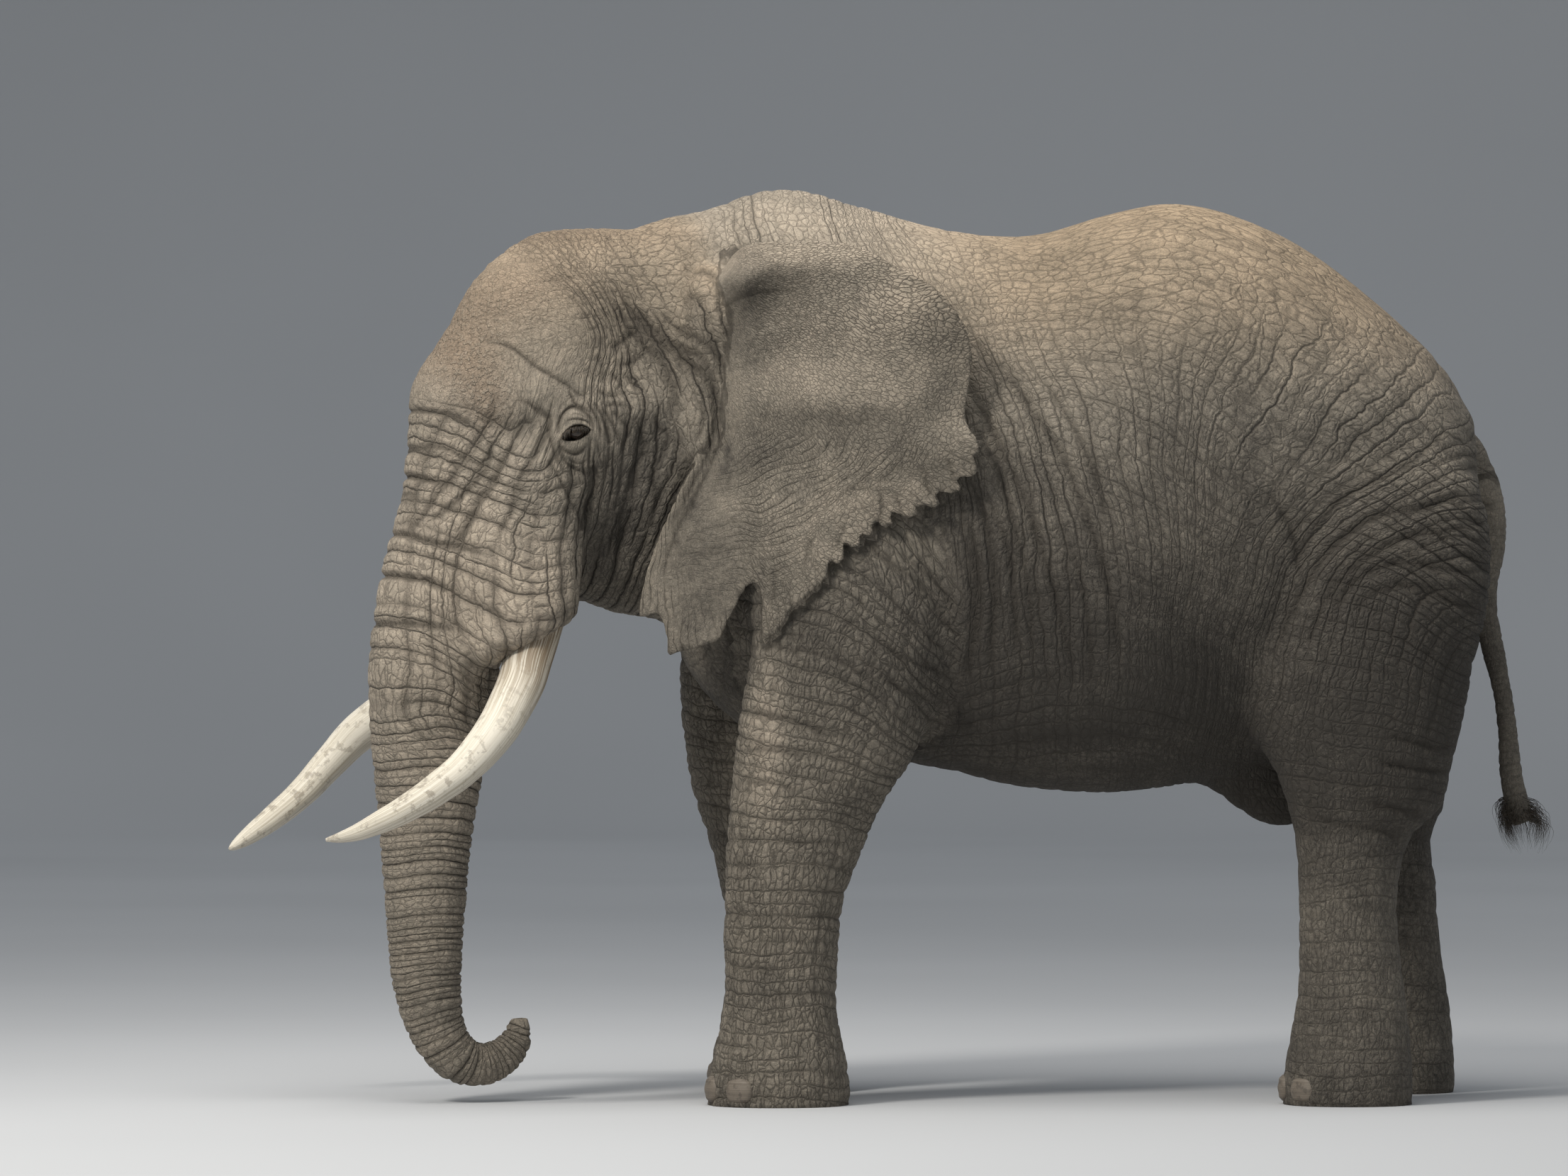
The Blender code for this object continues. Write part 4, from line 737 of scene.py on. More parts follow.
def lieOf(points):  # crease levels in two sets, the share of the second set, and the zones they come from
    x, y, z = points.T
    forward, left, _ = bodyToHead(points).T
    waver = np.stack([cloud(points * 4.5 + 3, 11), cloud(points * 4.5 + 7, 12)]) - 0.5
    smaller = np.stack([cloud(points * 13, 13), cloud(points * 13 + 5, 14)]) - 0.5
    waver = lieMaking["waver"] * waver + lieMaking["smallWaver"] * smaller
    tilt = lieMaking["tilt"] * (0.85 - x) * bump(x, 0.85, 0.55) * bump(z, 2.15, 0.60)
    first = np.stack([lieField(bodyLie["down"])(x, z) + waver[0],
                      lieField(bodyLie["across"])(x, z) + waver[1] + tilt, y], -1)
    first /= lieMaking["spacing"]
    ears, earSpots = np.zeros(len(points)), np.zeros((len(points), 3))
    for side in (1, -1):
        here, spread, reach, local = earZone(points, side)
        lines = np.stack([spread * 1.5 + 2.2 * waver[0], reach * 1.35 + 2.6 * waver[1], local[:, 1]], -1)
        first = np.where((here > 0.5)[:, None], lines / lieMaking["earSpacing"], first)
        earSpots = np.where((here > 0.02)[:, None], local, earSpots)
        ears = np.maximum(ears, here)

    ahead = ease(0.42, 0.5, forward)
    faces = ease(-0.06, 0.08, forward) * np.maximum(ease(1.4, 1.52, z), ahead)
    second = np.stack([lieField(headLie["down"], True)(forward, z),
                       lieField(headLie["across"], True)(forward, z), left], -1)
    arc, rearward = trunkFrame(forward, z)
    low = ((1 - ease(1.15, 1.38, z)) * ahead)[:, None]
    second = second * (1 - low) + low * np.stack([0.09 + rearward, 1.7 + arc + 0.9 * left ** 2, left], -1)
    second[:, :2] += (0.8 + 0.4 * (1 - ease(0.55, 0.8, forward)))[:, None] * waver.T
    second /= lieMaking["spacing"]
    arc = np.maximum(arc, 0)
    second[:, 1] += low[:, 0] * lieMaking["closer"] * (arc + 0.35 * (np.exp(-arc / 0.35) - 1))

    arms = np.zeros(len(points))
    for side in (1, -1):
        edge, straight = legPlace(foreleg, points, side)
        here = (1 - ease(1.1, 1.32, edge)) * (1 - ease(1.95, 2.25, z)) * (-side * y > 0.02)
        lines = np.stack([lieField(armLie["down"])(straight, z) + waver[0],
                          lieField(armLie["across"])(straight, z) + waver[1], y], -1)
        second = np.where((here > faces)[:, None], lines / lieMaking["spacing"], second)
        arms = np.maximum(arms, here)
    tailPath = smoothRows(tail["rows"], 4)[:, :3]
    where, away = alongPath(points, tailPath)
    tails = (1 - ease(0.065, 0.1, away)) * (1 - ease(2.1, 2.28, z)) * ease(2.0, 2.05, x)
    lines = np.stack([x - 2.1, where, y], -1) / lieMaking["tailSpacing"]
    second = np.where((tails > 0.5)[:, None], lines, second)
    share = np.maximum(np.maximum(faces, arms), tails) * (1 - ears)
    zone = dict(ears=ears, earSpots=earSpots, faces=faces * (1 - ears), trunk=low[:, 0] * faces,
                arms=arms * (1 - ears), tails=tails)
    return first, second, share, zone


def bells(a, b, rows):  # a sum of soft spots: middle a, middle b, half lengths along both, amount
    return sum(amount * bump(a, middleA, spreadA) * bump(b, middleB, spreadB)
               for middleA, middleB, spreadA, spreadB, amount in rows)


def lineStrengths(points, second, zone):  # how strong the down, across and cell creases are in each set
    x, _, z = points.T
    forward = bodyToHead(points)[:, 0]
    body = np.stack([bells(x, z, lieMaking["downSpots"]), bells(x, z, lieMaking["acrossSpots"]), 0 * x], -1)
    body = lieMaking["body"] + body
    body[:, 0] *= 1 - 0.72 * ease(2.55, 2.92, z) * ease(0.1, 0.5, x)
    body = body + (lieMaking["limbs"] - body) * (1 - ease(0.85, 1.1, z))[:, None]
    earX, _, earZ = zone["earSpots"].T
    low = 1 - ease(2.24, 2.42, earZ)
    angle, far = earPolar(earX, earZ)
    rim = low * ease(-0.26, -0.03, far - earReach(angle))
    lobe = 1 - 0.6 * ease(-0.45, -0.6, earX)
    sheet = np.stack([0.15 + 0.5 * rim, (0.1 + 0.68 * low * (1 - rim)) * lobe,
                      (0.5 + 0.2 * ease(2.5, 2.7, earZ)) * lobe], -1)
    body = np.where((zone["ears"] > 0.5)[:, None], sheet, body)
    body *= ease(0.02, 0.30, np.abs(zone["ears"] - 0.5))[:, None]
    line = second[:, 0] * lieMaking["spacing"]
    brow = ease(2.36, 2.48, z) * (1 - ease(0.45, 0.6, line))
    front = 1 - ease(0.03, 0.11, line)
    cheek = ease(0.45, 0.6, line)
    crown = ease(2.68, 2.92, z)
    face = np.stack([(0.95 + 0.3 * cheek) * (1 - 0.55 * crown) - 0.8 * np.maximum(brow, front),
                     0.95 - 0.7 * np.maximum(brow, cheek), 0.55 - 0.25 * brow], -1)
    face = face + (lieMaking["trunk"] - face) * zone["trunk"][:, None]
    head = np.where((zone["faces"] > zone["arms"])[:, None], face, lieMaking["arms"])
    head = np.where((zone["tails"] > 0.5)[:, None], lieMaking["tails"], head)
    calm = np.ones(len(points))
    for side in (1, -1):
        calm *= 0.25 + 0.75 * ease(0.07, 0.13, np.linalg.norm(points - eyeCentre(side), axis=1))
    return body, head * calm[:, None]


def familyGap(level, along, seed):  # distance to a family's nearest crease, and how present that one is
    index = np.floor(level + 0.5)
    return np.abs(level - index), ease(0.22, 0.52, cloudOf(index * 17.3, along * 0.16, seed))


# Depth of the creases wide enough for the mesh, each strength e^-(gap / half)^1.7, and the lines present
def grooves(levels, strengths, narrow, breaks, seed):
    depth, present = np.zeros(len(levels)), strengths.copy()
    for axis in (0, 1):
        gap, there = familyGap(levels[:, axis], levels[:, 1 - axis] * breaks, seed + axis)
        wideGap, wideThere = familyGap(0.5 * levels[:, axis], 0.5 * levels[:, 1 - axis], seed + 7 + axis)
        present[:, axis] *= there
        shape = np.exp(-(gap / lieMaking["half"]) ** 1.7)
        wideShape = np.exp(-(wideGap / lieMaking["wideHalf"]) ** 1.7)
        depth += narrow * lieMaking["depth"] * present[:, axis] * shape
        depth += lieMaking["wideDepth"] * strengths[:, axis] * wideThere * wideShape
    cells = ease(0, lieMaking["cellHalf"], cellEdge(levels * 0.8 + 0.5, seed + 20))
    return depth + narrow * lieMaking["cellDepth"] * strengths[:, 2] * (1 - cells), present


def eyeCentre(side):
    forward, left, up = stance["eyeSpot"]
    return headToBody(np.float64(forward), np.float64(side * left), np.float64(up))


def eyeAxes(side):  # forward along the face, up, and out of the face, at the eye
    turn = stance["eyeTurn"]
    ahead = headToBody(math.cos(turn), -side * math.sin(turn), 0.0) - headToBody(0.0, 0.0, 0.0)
    out = headToBody(math.sin(turn), side * math.cos(turn), 0.0) - headToBody(0.0, 0.0, 0.0)
    return np.stack([ahead, (0.0, 0.0, 1.0), out])


# The eye's opening is an almond. Bulges: amount, ahead, its spread, above, its spread. Folds: depth and half
# width, then places ahead of and above the middle from point to point, all in millimetres
eyeLids = dict(middle=(0.004, -0.01), tilt=math.radians(-18), half=0.052, upper=0.033, lower=0.021,
               swell=0.014, rimLift=0.0022, depth=0.017, reach=0.26, swellHalf=0.07,
               bulges=((0.8, 0.005, 0.045, 0.052, 0.02), (0.7, 0.012, 0.038, -0.052, 0.018)),
               folds=((12, 6, 70, -10, 64, 30, 50, 62, 30, 80, 12, 84, -10, 74, -29, 61, -47, 40, -58, 4),
                      (6, 3, 42, 34, 20, 42, -4, 42, -30, 35, -50, 14),
                      (4, 3, 30, 54, 10, 60, -16, 54, -38, 42),
                      (11, 6, 64, -30, 60, -48, 46, -64, 14, -77, -14, -68, -34, -44),
                      (10, 7, 64, -50, 50, -88, 26, -117, -14, -136, -42, -148),
                      (6, 5, 36, -86, 14, -104, -10, -110, -34, -100),
                      (8, 6, 36, 150, 20, 118, 6, 92, -22, 80, -52, 58),
                      (9, 6, -34, 100, -60, 60, -78, 20, -82, -30),
                      (9, 6, -58, 100, -86, 56, -106, 10, -118, -45),
                      (8, 6, -84, 85, -116, 40, -138, -4, -150, -50), (9, 6, -46, -24, -44, -90, -50, -160),
                      (6, 5, -70, -30, -80, -80, -94, -130),
                      (8, 7, 92, 64, 98, 0, 86, -50, 66, -100, 36, -150), (7, 6, 160, 92, 120, 56, 92, 40)))


# The skin round one eye: the opening sunk behind the ball, lids and folds raised, and the wet rim marked, its
# dark colour partly painted shade in the recess.
# The opening's half height is (1 - (u / half)^2)^0.75 of the lid's
def lidded(points, side):
    axes, centre = eyeAxes(side), eyeCentre(side)
    near = np.flatnonzero(np.linalg.norm(points - centre, axis=1) < eyeLids["reach"])
    ahead, up, out = ((points[near] - centre) @ axes.T).T
    far = np.hypot(ahead, up)
    lift = np.exp(-(far / eyeLids["swellHalf"]) ** 2)
    for amount, middle, spread, height, rise in eyeLids["bulges"]:
        lift = lift + amount * bump(ahead, middle, spread) * bump(up, height, rise)
    lift = eyeLids["swell"] * lift
    folds = np.zeros(len(near))
    for depth, width, *line in eyeLids["folds"]:
        folds += carve(ahead, up, pairs(line, 1000), depth / 1000, width / 1000)
    cos, sin = cosSin(eyeLids["tilt"])
    a, b = ahead - eyeLids["middle"][0], up - eyeLids["middle"][1]
    u, v = a * cos + b * sin, b * cos - a * sin
    rest = np.clip(1 - (u / eyeLids["half"]) ** 2, 0, 1) ** 0.75
    opening = np.minimum(eyeLids["upper"] * rest - v, v + eyeLids["lower"] * rest)
    opening = np.where(np.abs(u) > eyeLids["half"], eyeLids["half"] - np.abs(u) - np.abs(v), opening)
    lift += eyeLids["rimLift"] * bump(opening, -0.0045, 0.0045) * (1 + 0.9 * (v > 0)) - folds
    ball = np.sqrt(np.maximum(stance["eyeRadius"] ** 2 - far ** 2, 0))
    sunk = np.minimum(ball - 0.006, out - eyeLids["depth"])
    inside = ease(-0.0005, 0.006, opening) * (out > -0.05)
    target = (out + lift) * (1 - inside) + sunk * inside
    moved = points.copy()
    moved[near] += (target - out)[:, None] * axes[2]
    wetAndShade, dark = np.zeros(len(points)), np.zeros(len(points))
    # the wet rim and the skin inside the opening: wet skin, darkened with painted shade
    wetAndShade[near] = ease(-0.007, 0.005, opening) * (out > -0.05)
    # the fold depths go back for painted shade in the folds
    dark[near] = folds
    return moved, wetAndShade, dark


def finerRoundEyes(mesh):  # splits the faces near each eye and evens them out
    work = bmesh.new()
    work.from_mesh(mesh)
    for side in (1, -1):
        spot = Vector(eyeCentre(side))
        near = {vert for vert in work.verts if (vert.co - spot).length < skinMaking["eyeReach"]}
        edges = [edge for edge in work.edges if edge.verts[0] in near and edge.verts[1] in near]
        made = bmesh.ops.subdivide_edges(work, edges=edges, cuts=skinMaking["eyeCuts"], use_grid_fill=True)
        fresh = [item for item in made["geom"] if isinstance(item, bmesh.types.BMVert)]
        for _ in range(skinMaking["eyeEvening"]):
            bmesh.ops.smooth_vert(work, verts=fresh, factor=0.5, use_axis_x=True, use_axis_y=True,
                                  use_axis_z=True)
    work.to_mesh(mesh)
    work.free()


def soled(mesh):  # cuts the feet flat on the floor and closes the soles
    work = bmesh.new()
    work.from_mesh(mesh)
    whole = work.verts[:] + work.edges[:] + work.faces[:]
    cut = bmesh.ops.bisect_plane(work, geom=whole, plane_co=(0, 0, 0), plane_no=(0, 0, 1), clear_inner=True)
    rims = [item for item in cut["geom_cut"] if isinstance(item, bmesh.types.BMEdge)]
    soles = bmesh.ops.holes_fill(work, edges=rims, sides=0)["faces"]
    bmesh.ops.triangulate(work, faces=soles)
    work.to_mesh(mesh)
    work.free()


def dustAndShadeOf(points, normals, zone):  # how pale each place is: partly dust, partly painted light and shade, paler high up and on upward-facing tops, darker low down
    look = dustAndShadeLook
    x, y, z = points.T
    forward = bodyToHead(points)[:, 0]
    top = np.clip(normals[:, 2], 0, 1)
    dustAndShade = look["low"] + look["high"] * ease(1.3, 2.8, z) + look["top"] * top * ease(1.9, 2.6, z)
    dustAndShade += look["arms"] * zone["arms"] * (1 - 0.6 * ease(1.2, 1.7, z))
    dustAndShade += look["feet"] * (1 - ease(0.7, 1.0, z))
    dustAndShade += bells(x, z, look["bodySpots"]) * (1 - zone["faces"])
    dustAndShade += look["tail"] * zone["tails"]
    face = look["face"] + look["faceTop"] * top * ease(2.4, 2.7, z)
    face = face + bells(forward, z, look["faceSpots"])
    dustAndShade += (face - dustAndShade) * zone["faces"]
    earX, _, earZ = zone["earSpots"].T
    sheet = look["ears"] + bells(earX, earZ, look["earSpots"])
    sheet += (dustAndShade + look["earTop"] - sheet) * ease(2.80, 2.94, earZ)
    dustAndShade += (sheet - dustAndShade) * zone["ears"]
    dustAndShade += look["patches"] * (cloud(points * 1.7, 41) - 0.5 + 0.5 * (cloud(points * 5, 42) - 0.5))
    dustAndShade += look["earPatches"] * zone["ears"] * (cloud(points * 14, 43) - 0.5)
    return np.clip(dustAndShade, 0, 1)


def nodeKit(name):  # a new material, and a function that adds a node by kind and gives one of its outputs
    made = bpy.data.materials.new(name)
    made.use_nodes = True
    tree = made.node_tree

    def add(kind, inputs=None, out=0, **settings):
        item = tree.nodes.new("ShaderNode" + kind)
        for key, value in settings.items():
            setattr(item, key, value)
        for key, value in (inputs or {}).items():
            if isinstance(value, bpy.types.NodeSocket):
                tree.links.new(value, item.inputs[key])
            else:
                item.inputs[key].default_value = value
        return item.outputs[out]

    def finish(**links):
        shader = tree.nodes["Principled BSDF"]
        for key, value in links.items():
            socket = shader.inputs[key.replace("_", " ")]
            if isinstance(value, bpy.types.NodeSocket):
                tree.links.new(value, socket)
            else:
                socket.default_value = value
        return made

    return add, finish


def maths(add, operation, first, second):  # a Math node with two inputs
    return add("Math", {0: first, 1: second}, operation=operation)


def times(add, first, second):
    return maths(add, "MULTIPLY", first, second)


def plus(add, first, *others):  # one value after another added on
    for other in others:
        first = maths(add, "ADD", first, other)
    return first


def read(add, name, out=2):  # a value stored on the mesh; out=1 for one of three parts
    return add("Attribute", out=out, attribute_name=name)


def objectSpot(add):
    return add("TexCoord", out=3)


def bumpOf(add, height, strength=1.0, distance=1.0):
    return add("Bump", {"Height": height, "Strength": strength, "Distance": distance})


def ramp(add, value, low, high, start=0.0, end=1.0):  # start to end, smoothly, while value runs low to high
    inputs = {"Value": value, "From Min": low, "From Max": high, "To Min": start, "To Max": end}
    return add("MapRange", inputs, interpolation_type="SMOOTHSTEP")


def opaque(colour):
    return (*colour, 1) if isinstance(colour, tuple) else colour


def blend(add, share, first, second, way="MIX"):  # colours mixed by share
    inputs = {0: share, 6: opaque(first), 7: opaque(second)}
    return add("Mix", inputs, out=2, data_type="RGBA", blend_type=way)


def lerp(add, share, first, second):  # values mixed by share
    return add("Mix", {0: share, 2: first, 3: second}, data_type="FLOAT")


def noise(add, where, scale, detail=2.0, rough=0.5, out=0):
    return add("TexNoise", {"Vector": where, "Scale": scale, "Detail": detail, "Roughness": rough}, out=out)


def creaseNodes(add, number):  # wide and fine creases read from one set of levels
    levels, strengths = read(add, f"levels{number}", 1), read(add, f"lines{number}", 1)
    half = (0.5, 0.5, 0.5)
    shake = add("VectorMath", {0: noise(add, levels, 0.9, 3.0, 0.6, 1), 1: half}, operation="SUBTRACT")
    moved = add("VectorMath", {0: shake, 1: half, 2: levels}, operation="MULTIPLY_ADD")
    strength, place = (add("SeparateXYZ", {0: vector}).node.outputs for vector in (strengths, moved))
    stretched = add("VectorMath", {0: moved, 1: skinLook["cells"]}, operation="MULTIPLY")
    thick = noise(add, levels, 0.55, 2.0, 0.6)
    gaps = [maths(add, "PINGPONG", place[axis], 0.5) for axis in (0, 1)]
    gaps.append(add("TexVoronoi", {"Vector": stretched, "Scale": 1.0}, feature="DISTANCE_TO_EDGE"))
    cores, valleys = [], []
    for axis, gap in enumerate(gaps):
        spread = ramp(add, thick, 0.30, 0.70, *skinLook["coreSpread"][::1 if axis % 2 else -1])
        even = maths(add, "DIVIDE", gap, spread)
        cores.append(times(add, ramp(add, even, skinLook["core"], 0.0), strength[axis]))
        valleys.append(times(add, ramp(add, gap, skinLook["valley"], 0.0), strength[axis]))
    deepest = [maths(add, "MAXIMUM", maths(add, "MAXIMUM", a, b), c) for a, b, c in (cores, valleys)]
    closer = [maths(add, "PINGPONG", times(add, place[axis], skinLook["finer"]), 0.5) for axis in (0, 1)]
    thin = [times(add, ramp(add, gap, skinLook["thinEdge"], 0.0), strength[axis])
            for axis, gap in enumerate(closer)]
    grain = add("TexVoronoi", {"Vector": moved, "Scale": skinLook["fineCells"]}, feature="DISTANCE_TO_EDGE")
    flakes = ramp(add, grain, skinLook["fineEdge"], 0.0, 0.0, skinLook["flakes"])
    fine = maths(add, "MAXIMUM", flakes, maths(add, "MAXIMUM", *thin))
    return (*deepest, fine)


def skinMaterial():
    add, finish = nodeKit("skin")
    where = objectSpot(add)
    share, dustAndShade, hollow, rust, wetAndShade, warm = (read(add, name) for name in
                                            ("share", "dustAndShade", "hollow", "rust", "wetAndShade", "warm"))
    both = zip(creaseNodes(add, 1), creaseNodes(add, 2))
    core, valley, fine = (lerp(add, share, first, second) for first, second in both)
    blotch = noise(add, where, 7.0, 4.0, 0.6)
    speck = noise(add, where, 60.0, 3.0, 0.6)
    grit = noise(add, where, 240.0, 2.0, 0.6)
    clods = ramp(add, noise(add, where, 75.0, 2.0, 0.5), 0.46, 0.66)

    # paleness from dust, with painted light and shade in it
    pale = plus(add, dustAndShade, *(ramp(add, pattern, 0.3, 0.7, -amount, amount)
                             for pattern, amount in zip((blotch, speck, grit), skinLook["mottling"])))
    # painted shade in the fine cracks, stronger where rust lies
    dark = skinLook["fineDark"]
    fineDark = add("Math", {0: rust, 1: 2.5 * dark, 2: dark}, operation="MULTIPLY_ADD")
    pale = maths(add, "SUBTRACT", pale, times(add, fine, fineDark))
    ramped = add("ValToRGB", {0: pale})
    stops = ramped.node.color_ramp.elements
    for level, colour in skinLook["colours"]:
        stop = stops[0] if level == 0 else stops[-1] if level == 1 else stops.new(level)
        stop.color = opaque(colour)
    tinted = blend(add, warm, ramped, skinLook["warm"], "MULTIPLY")
    stained = times(add, rust, ramp(add, clods, 0.0, 1.0, 0.85, 0.35))
    # painted shade: crease cores and deep hollows darkened towards a shade colour
    dirtAndShade = maths(add, "MAXIMUM", times(add, core, skinLook["coreDark"]),
                 times(add, hollow, skinLook["hollowDark"]))
    colour = blend(add, stained, tinted, skinLook["rust"])
    colour = blend(add, dirtAndShade, colour, skinLook["creaseShadeColour"])
    # the eye's wet rim: glossier, and darkened with painted shade in its recess
    colour = blend(add, wetAndShade, colour, skinLook["wetAndShade"])

    heights = ((valley, -skinLook["valleyDepth"]), (core, -skinLook["coreDepth"]),
               (fine, -skinLook["fineDepth"]),
               (grit, skinLook["gritDepth"]), (speck, skinLook["speckDepth"]),
               (times(add, clods, rust), skinLook["clodDepth"]))
    total = plus(add, *(times(add, pattern, depth) for pattern, depth in heights))
    rough = ramp(add, wetAndShade, 0.0, 1.0, 0.88, 0.3)
    return finish(Base_Color=colour, Roughness=rough, Normal=bumpOf(add, total), Specular_IOR_Level=0.25)


# While the mesh is thinned out the head is blown up, so that its smaller shapes keep more of the faces
headSwelling = dict(start=-0.6, full=-0.95, times=2.0)


def swelling(x):  # 1 behind the neck, rising smoothly to the full size over the head
    behind = ease(headSwelling["full"], headSwelling["start"], x)
    return 1 + (headSwelling["times"] - 1) * (1 - behind)


def swollenAlong():  # a table of x and the running sum of its swelling, which keeps x from folding over
    x = np.linspace(-3, 3, 6001)
    return x, np.cumsum(swelling(x)) * (x[1] - x[0])


def swollen(points):
    x, along = swollenAlong()
    scale = swelling(points[:, 0])
    return np.stack([np.interp(points[:, 0], x, along), points[:, 1] * scale, points[:, 2] * scale], -1)


def shrunk(points):
    x, along = swollenAlong()
    found = np.interp(points[:, 0], along, x)
    scale = swelling(found)
    return np.stack([found, points[:, 1] / scale, points[:, 2] / scale], -1)


def skinned():
    mesh = meltedBody()
    print("melted body", len(mesh.vertices), flush=True)
    finerRoundEyes(mesh)
    points, normals = spotsOf(mesh), normalsOf(mesh)
    first, second, share, zone = lieOf(points)
    print("lie of the skin", flush=True)
    inFirst, inSecond = lineStrengths(points, second, zone)
    depthOne, presentOne = grooves(first, inFirst, 0.25 + 0.75 * zone["ears"], 1 + 2.5 * zone["ears"], 100)
    x, y, z = points.T
    forward, left, _ = bodyToHead(points).T
    cheeks = zone["faces"] * (1 - ease(0.55, 0.75, forward))
    depthTwo, presentTwo = grooves(second, inSecond, 1.0, 1 + 1.6 * cheeks, 200)
    depth = depthOne + (depthTwo - depthOne) * share
    depth *= 1 - 0.25 * zone["ears"]
    folds = np.zeros(len(points))
    body = (1 - zone["ears"]) * (1 - zone["faces"]) * (1 - zone["arms"])
    earX, _, earZ = zone["earSpots"].T
    for rows, across, up, where in ((faceFolds, forward, z, zone["faces"]), (bodyFolds, x, z, body),
                                    (armFolds, x, z, zone["arms"]), (earFolds, earX, earZ, zone["ears"])):
        for deep, wide, *line in rows:
            line = pairs(line)
            if rows is faceFolds:  # cut a little deeper and narrower than drawn
                line = [toFace(*spot) for spot in line]
                deep, wide = lieMaking["faceDeeper"] * deep, lieMaking["faceNarrower"] * wide
            folds += where * carve(across, up, line, deep / 1000, wide / 1000)
    waves = lieMaking["waves"] * (cloud(points * 2.6, 31) - 0.5)
    waves = waves + lieMaking["smallWaves"] * (cloud(points * 7, 32) - 0.5)
    move = waves * (1 - 0.6 * zone["ears"]) - depth - folds
    moved = points + normals * move[:, None]
    wetAndShade = np.zeros(len(points))
    for side in (1, -1):
        moved, rim, creased = lidded(moved, side)
        wetAndShade = np.maximum(wetAndShade, rim)
        folds += creased
    moveSpots(mesh, moved)
    # how deep each place lies in creases and folds, which sets the painted shade in them
    hollow = np.clip((depth + 1.6 * np.maximum(folds, 0)) / lieMaking["darkDepth"], 0, 1)
    warm = (0.35 + 0.65 * np.clip(normals[:, 2], 0, 1)) * ease(2.35, 2.85, z)
    warm = warm * np.maximum(ease(-0.2, 0.6, x), 0.7 * zone["faces"])
    rust = np.clip(zone["faces"] * bells(forward, z, dustAndShadeLook["rustSpots"]), 0, 1)
    kept = dict(levels1=first, levels2=second, lines1=presentOne, lines2=presentTwo, share=share, wetAndShade=wetAndShade,
                hollow=hollow, dustAndShade=dustAndShadeOf(points, normals, zone), warm=warm, rust=rust)
    for name, values in kept.items():
        store(mesh, name, values)
    moveSpots(mesh, swollen(moved + frameShift))
    soled(mesh)
    print("creased skin", len(mesh.vertices), flush=True)
    count = len(mesh.polygons) + sum(1 for item in mesh.polygons if item.loop_total == 4)
    made = remade(mesh, "skin", [("DECIMATE", dict(ratio=skinMaking["triangles"] / count))])
    moveSpots(made, shrunk(spotsOf(made)))
    made.shade_smooth()
    print("skin", len(made.polygons), flush=True)
    return made


skin = place("skin", skinned())
skin.data.materials.append(skinMaterial())

flesh = [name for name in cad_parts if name.split("_")[0] in
         ("head", "lower", "neck", "trunk", "shoulders", "barrel", "rump", "groin", "foreleg", "hindleg",
          "ear", "tail")
         and name != "tail_tuft"]
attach(skin, "root")
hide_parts(*flesh)


# Eyes: a ball with a bulging cornea, and lashes rooted along the upper lid

eye = dict(rings=48, around=64, cornea=0.05, corneaHalf=math.radians(30), irisHalf=math.radians(38),
           pupilHalf=math.radians(15), iris=(0.055, 0.028, 0.012), rim=(0.01, 0.007, 0.005),
           white=(0.04, 0.028, 0.022), pupil=(0.002, 0.002, 0.002))
lash = dict(count=140, length=0.05, radius=0.0015, rings=7, seed=5, span=(-0.8, 0.86), rootOut=0.0225,
            fan=4.0)


def eyeball(side):  # rings round the gaze, radius R (1 + cornea e^-(t/half)^2) at angle t from it
    axes, centre = eyeAxes(side), eyeCentre(side) + frameShift
    t = (np.linspace(0.02, math.pi - 0.02, eye["rings"]))[:, None, None]
    u = turns(eye["around"])[None, :, None]
    ways = np.sin(t) * (np.cos(u) * axes[0] + np.sin(u) * axes[1]) + np.cos(t) * axes[2]
    radius = stance["eyeRadius"] * (1 + eye["cornea"] * np.exp(-(t / eye["corneaHalf"]) ** 2))
    return closedTube(centre + radius * ways), axes, centre


def eyeMaterial():
    add, finish = nodeKit("eye")
    gaze = read(add, "gaze", 1)
    angle = maths(add, "ARCCOSINE", add("SeparateXYZ", {0: gaze}, out=2), 0.0)
    streaks = noise(add, add("VectorMath", {0: gaze, 1: (1, 1, 0)}, operation="MULTIPLY"), 14.0, 4.0, 0.7)
    colour = blend(add, ramp(add, streaks, 0.3, 0.7), eye["rim"], eye["iris"])
    for half, start, end, over in (("irisHalf", 0.75, 1.00, "rim"), ("irisHalf", 1.02, 1.12, "white"),
                                   ("pupilHalf", 1.08, 0.92, "pupil")):
        colour = blend(add, ramp(add, angle, start * eye[half], end * eye[half]), colour, eye[over])
    fine = bumpOf(add, noise(add, gaze, 30.0), 0.04, 0.001)
    return finish(Base_Color=colour, Roughness=0.2, Normal=fine, Specular_IOR_Level=0.4, Coat_Weight=0.35,
                  Coat_Roughness=0.05)


def hairs(paths, radii, around):  # a tapered tube along each path, all at once; paths: hair, ring, xyz
    count, rings = paths.shape[:2]
    ways = unit(np.gradient(paths, axis=1))
    flat = unit(np.cross(ways, (0.31, 0.22, 0.92)))
    other = np.cross(ways, flat)
    u = turns(around)[None, None, :, None]
    ring = np.cos(u) * flat[:, :, None] + np.sin(u) * other[:, :, None]
    ring = paths[:, :, None] + radii[:, :, None, None] * ring
    points = np.concatenate([ring.reshape(count, -1, 3), paths[:, :1], paths[:, -1:]], axis=1)
    quads, fans = tubeFaces(rings, around)
    start = (np.arange(count) * points.shape[1])[:, None, None]
    return points.reshape(-1, 3), (quads[None] + start).reshape(-1, 4), (fans[None] + start).reshape(-1, 3)


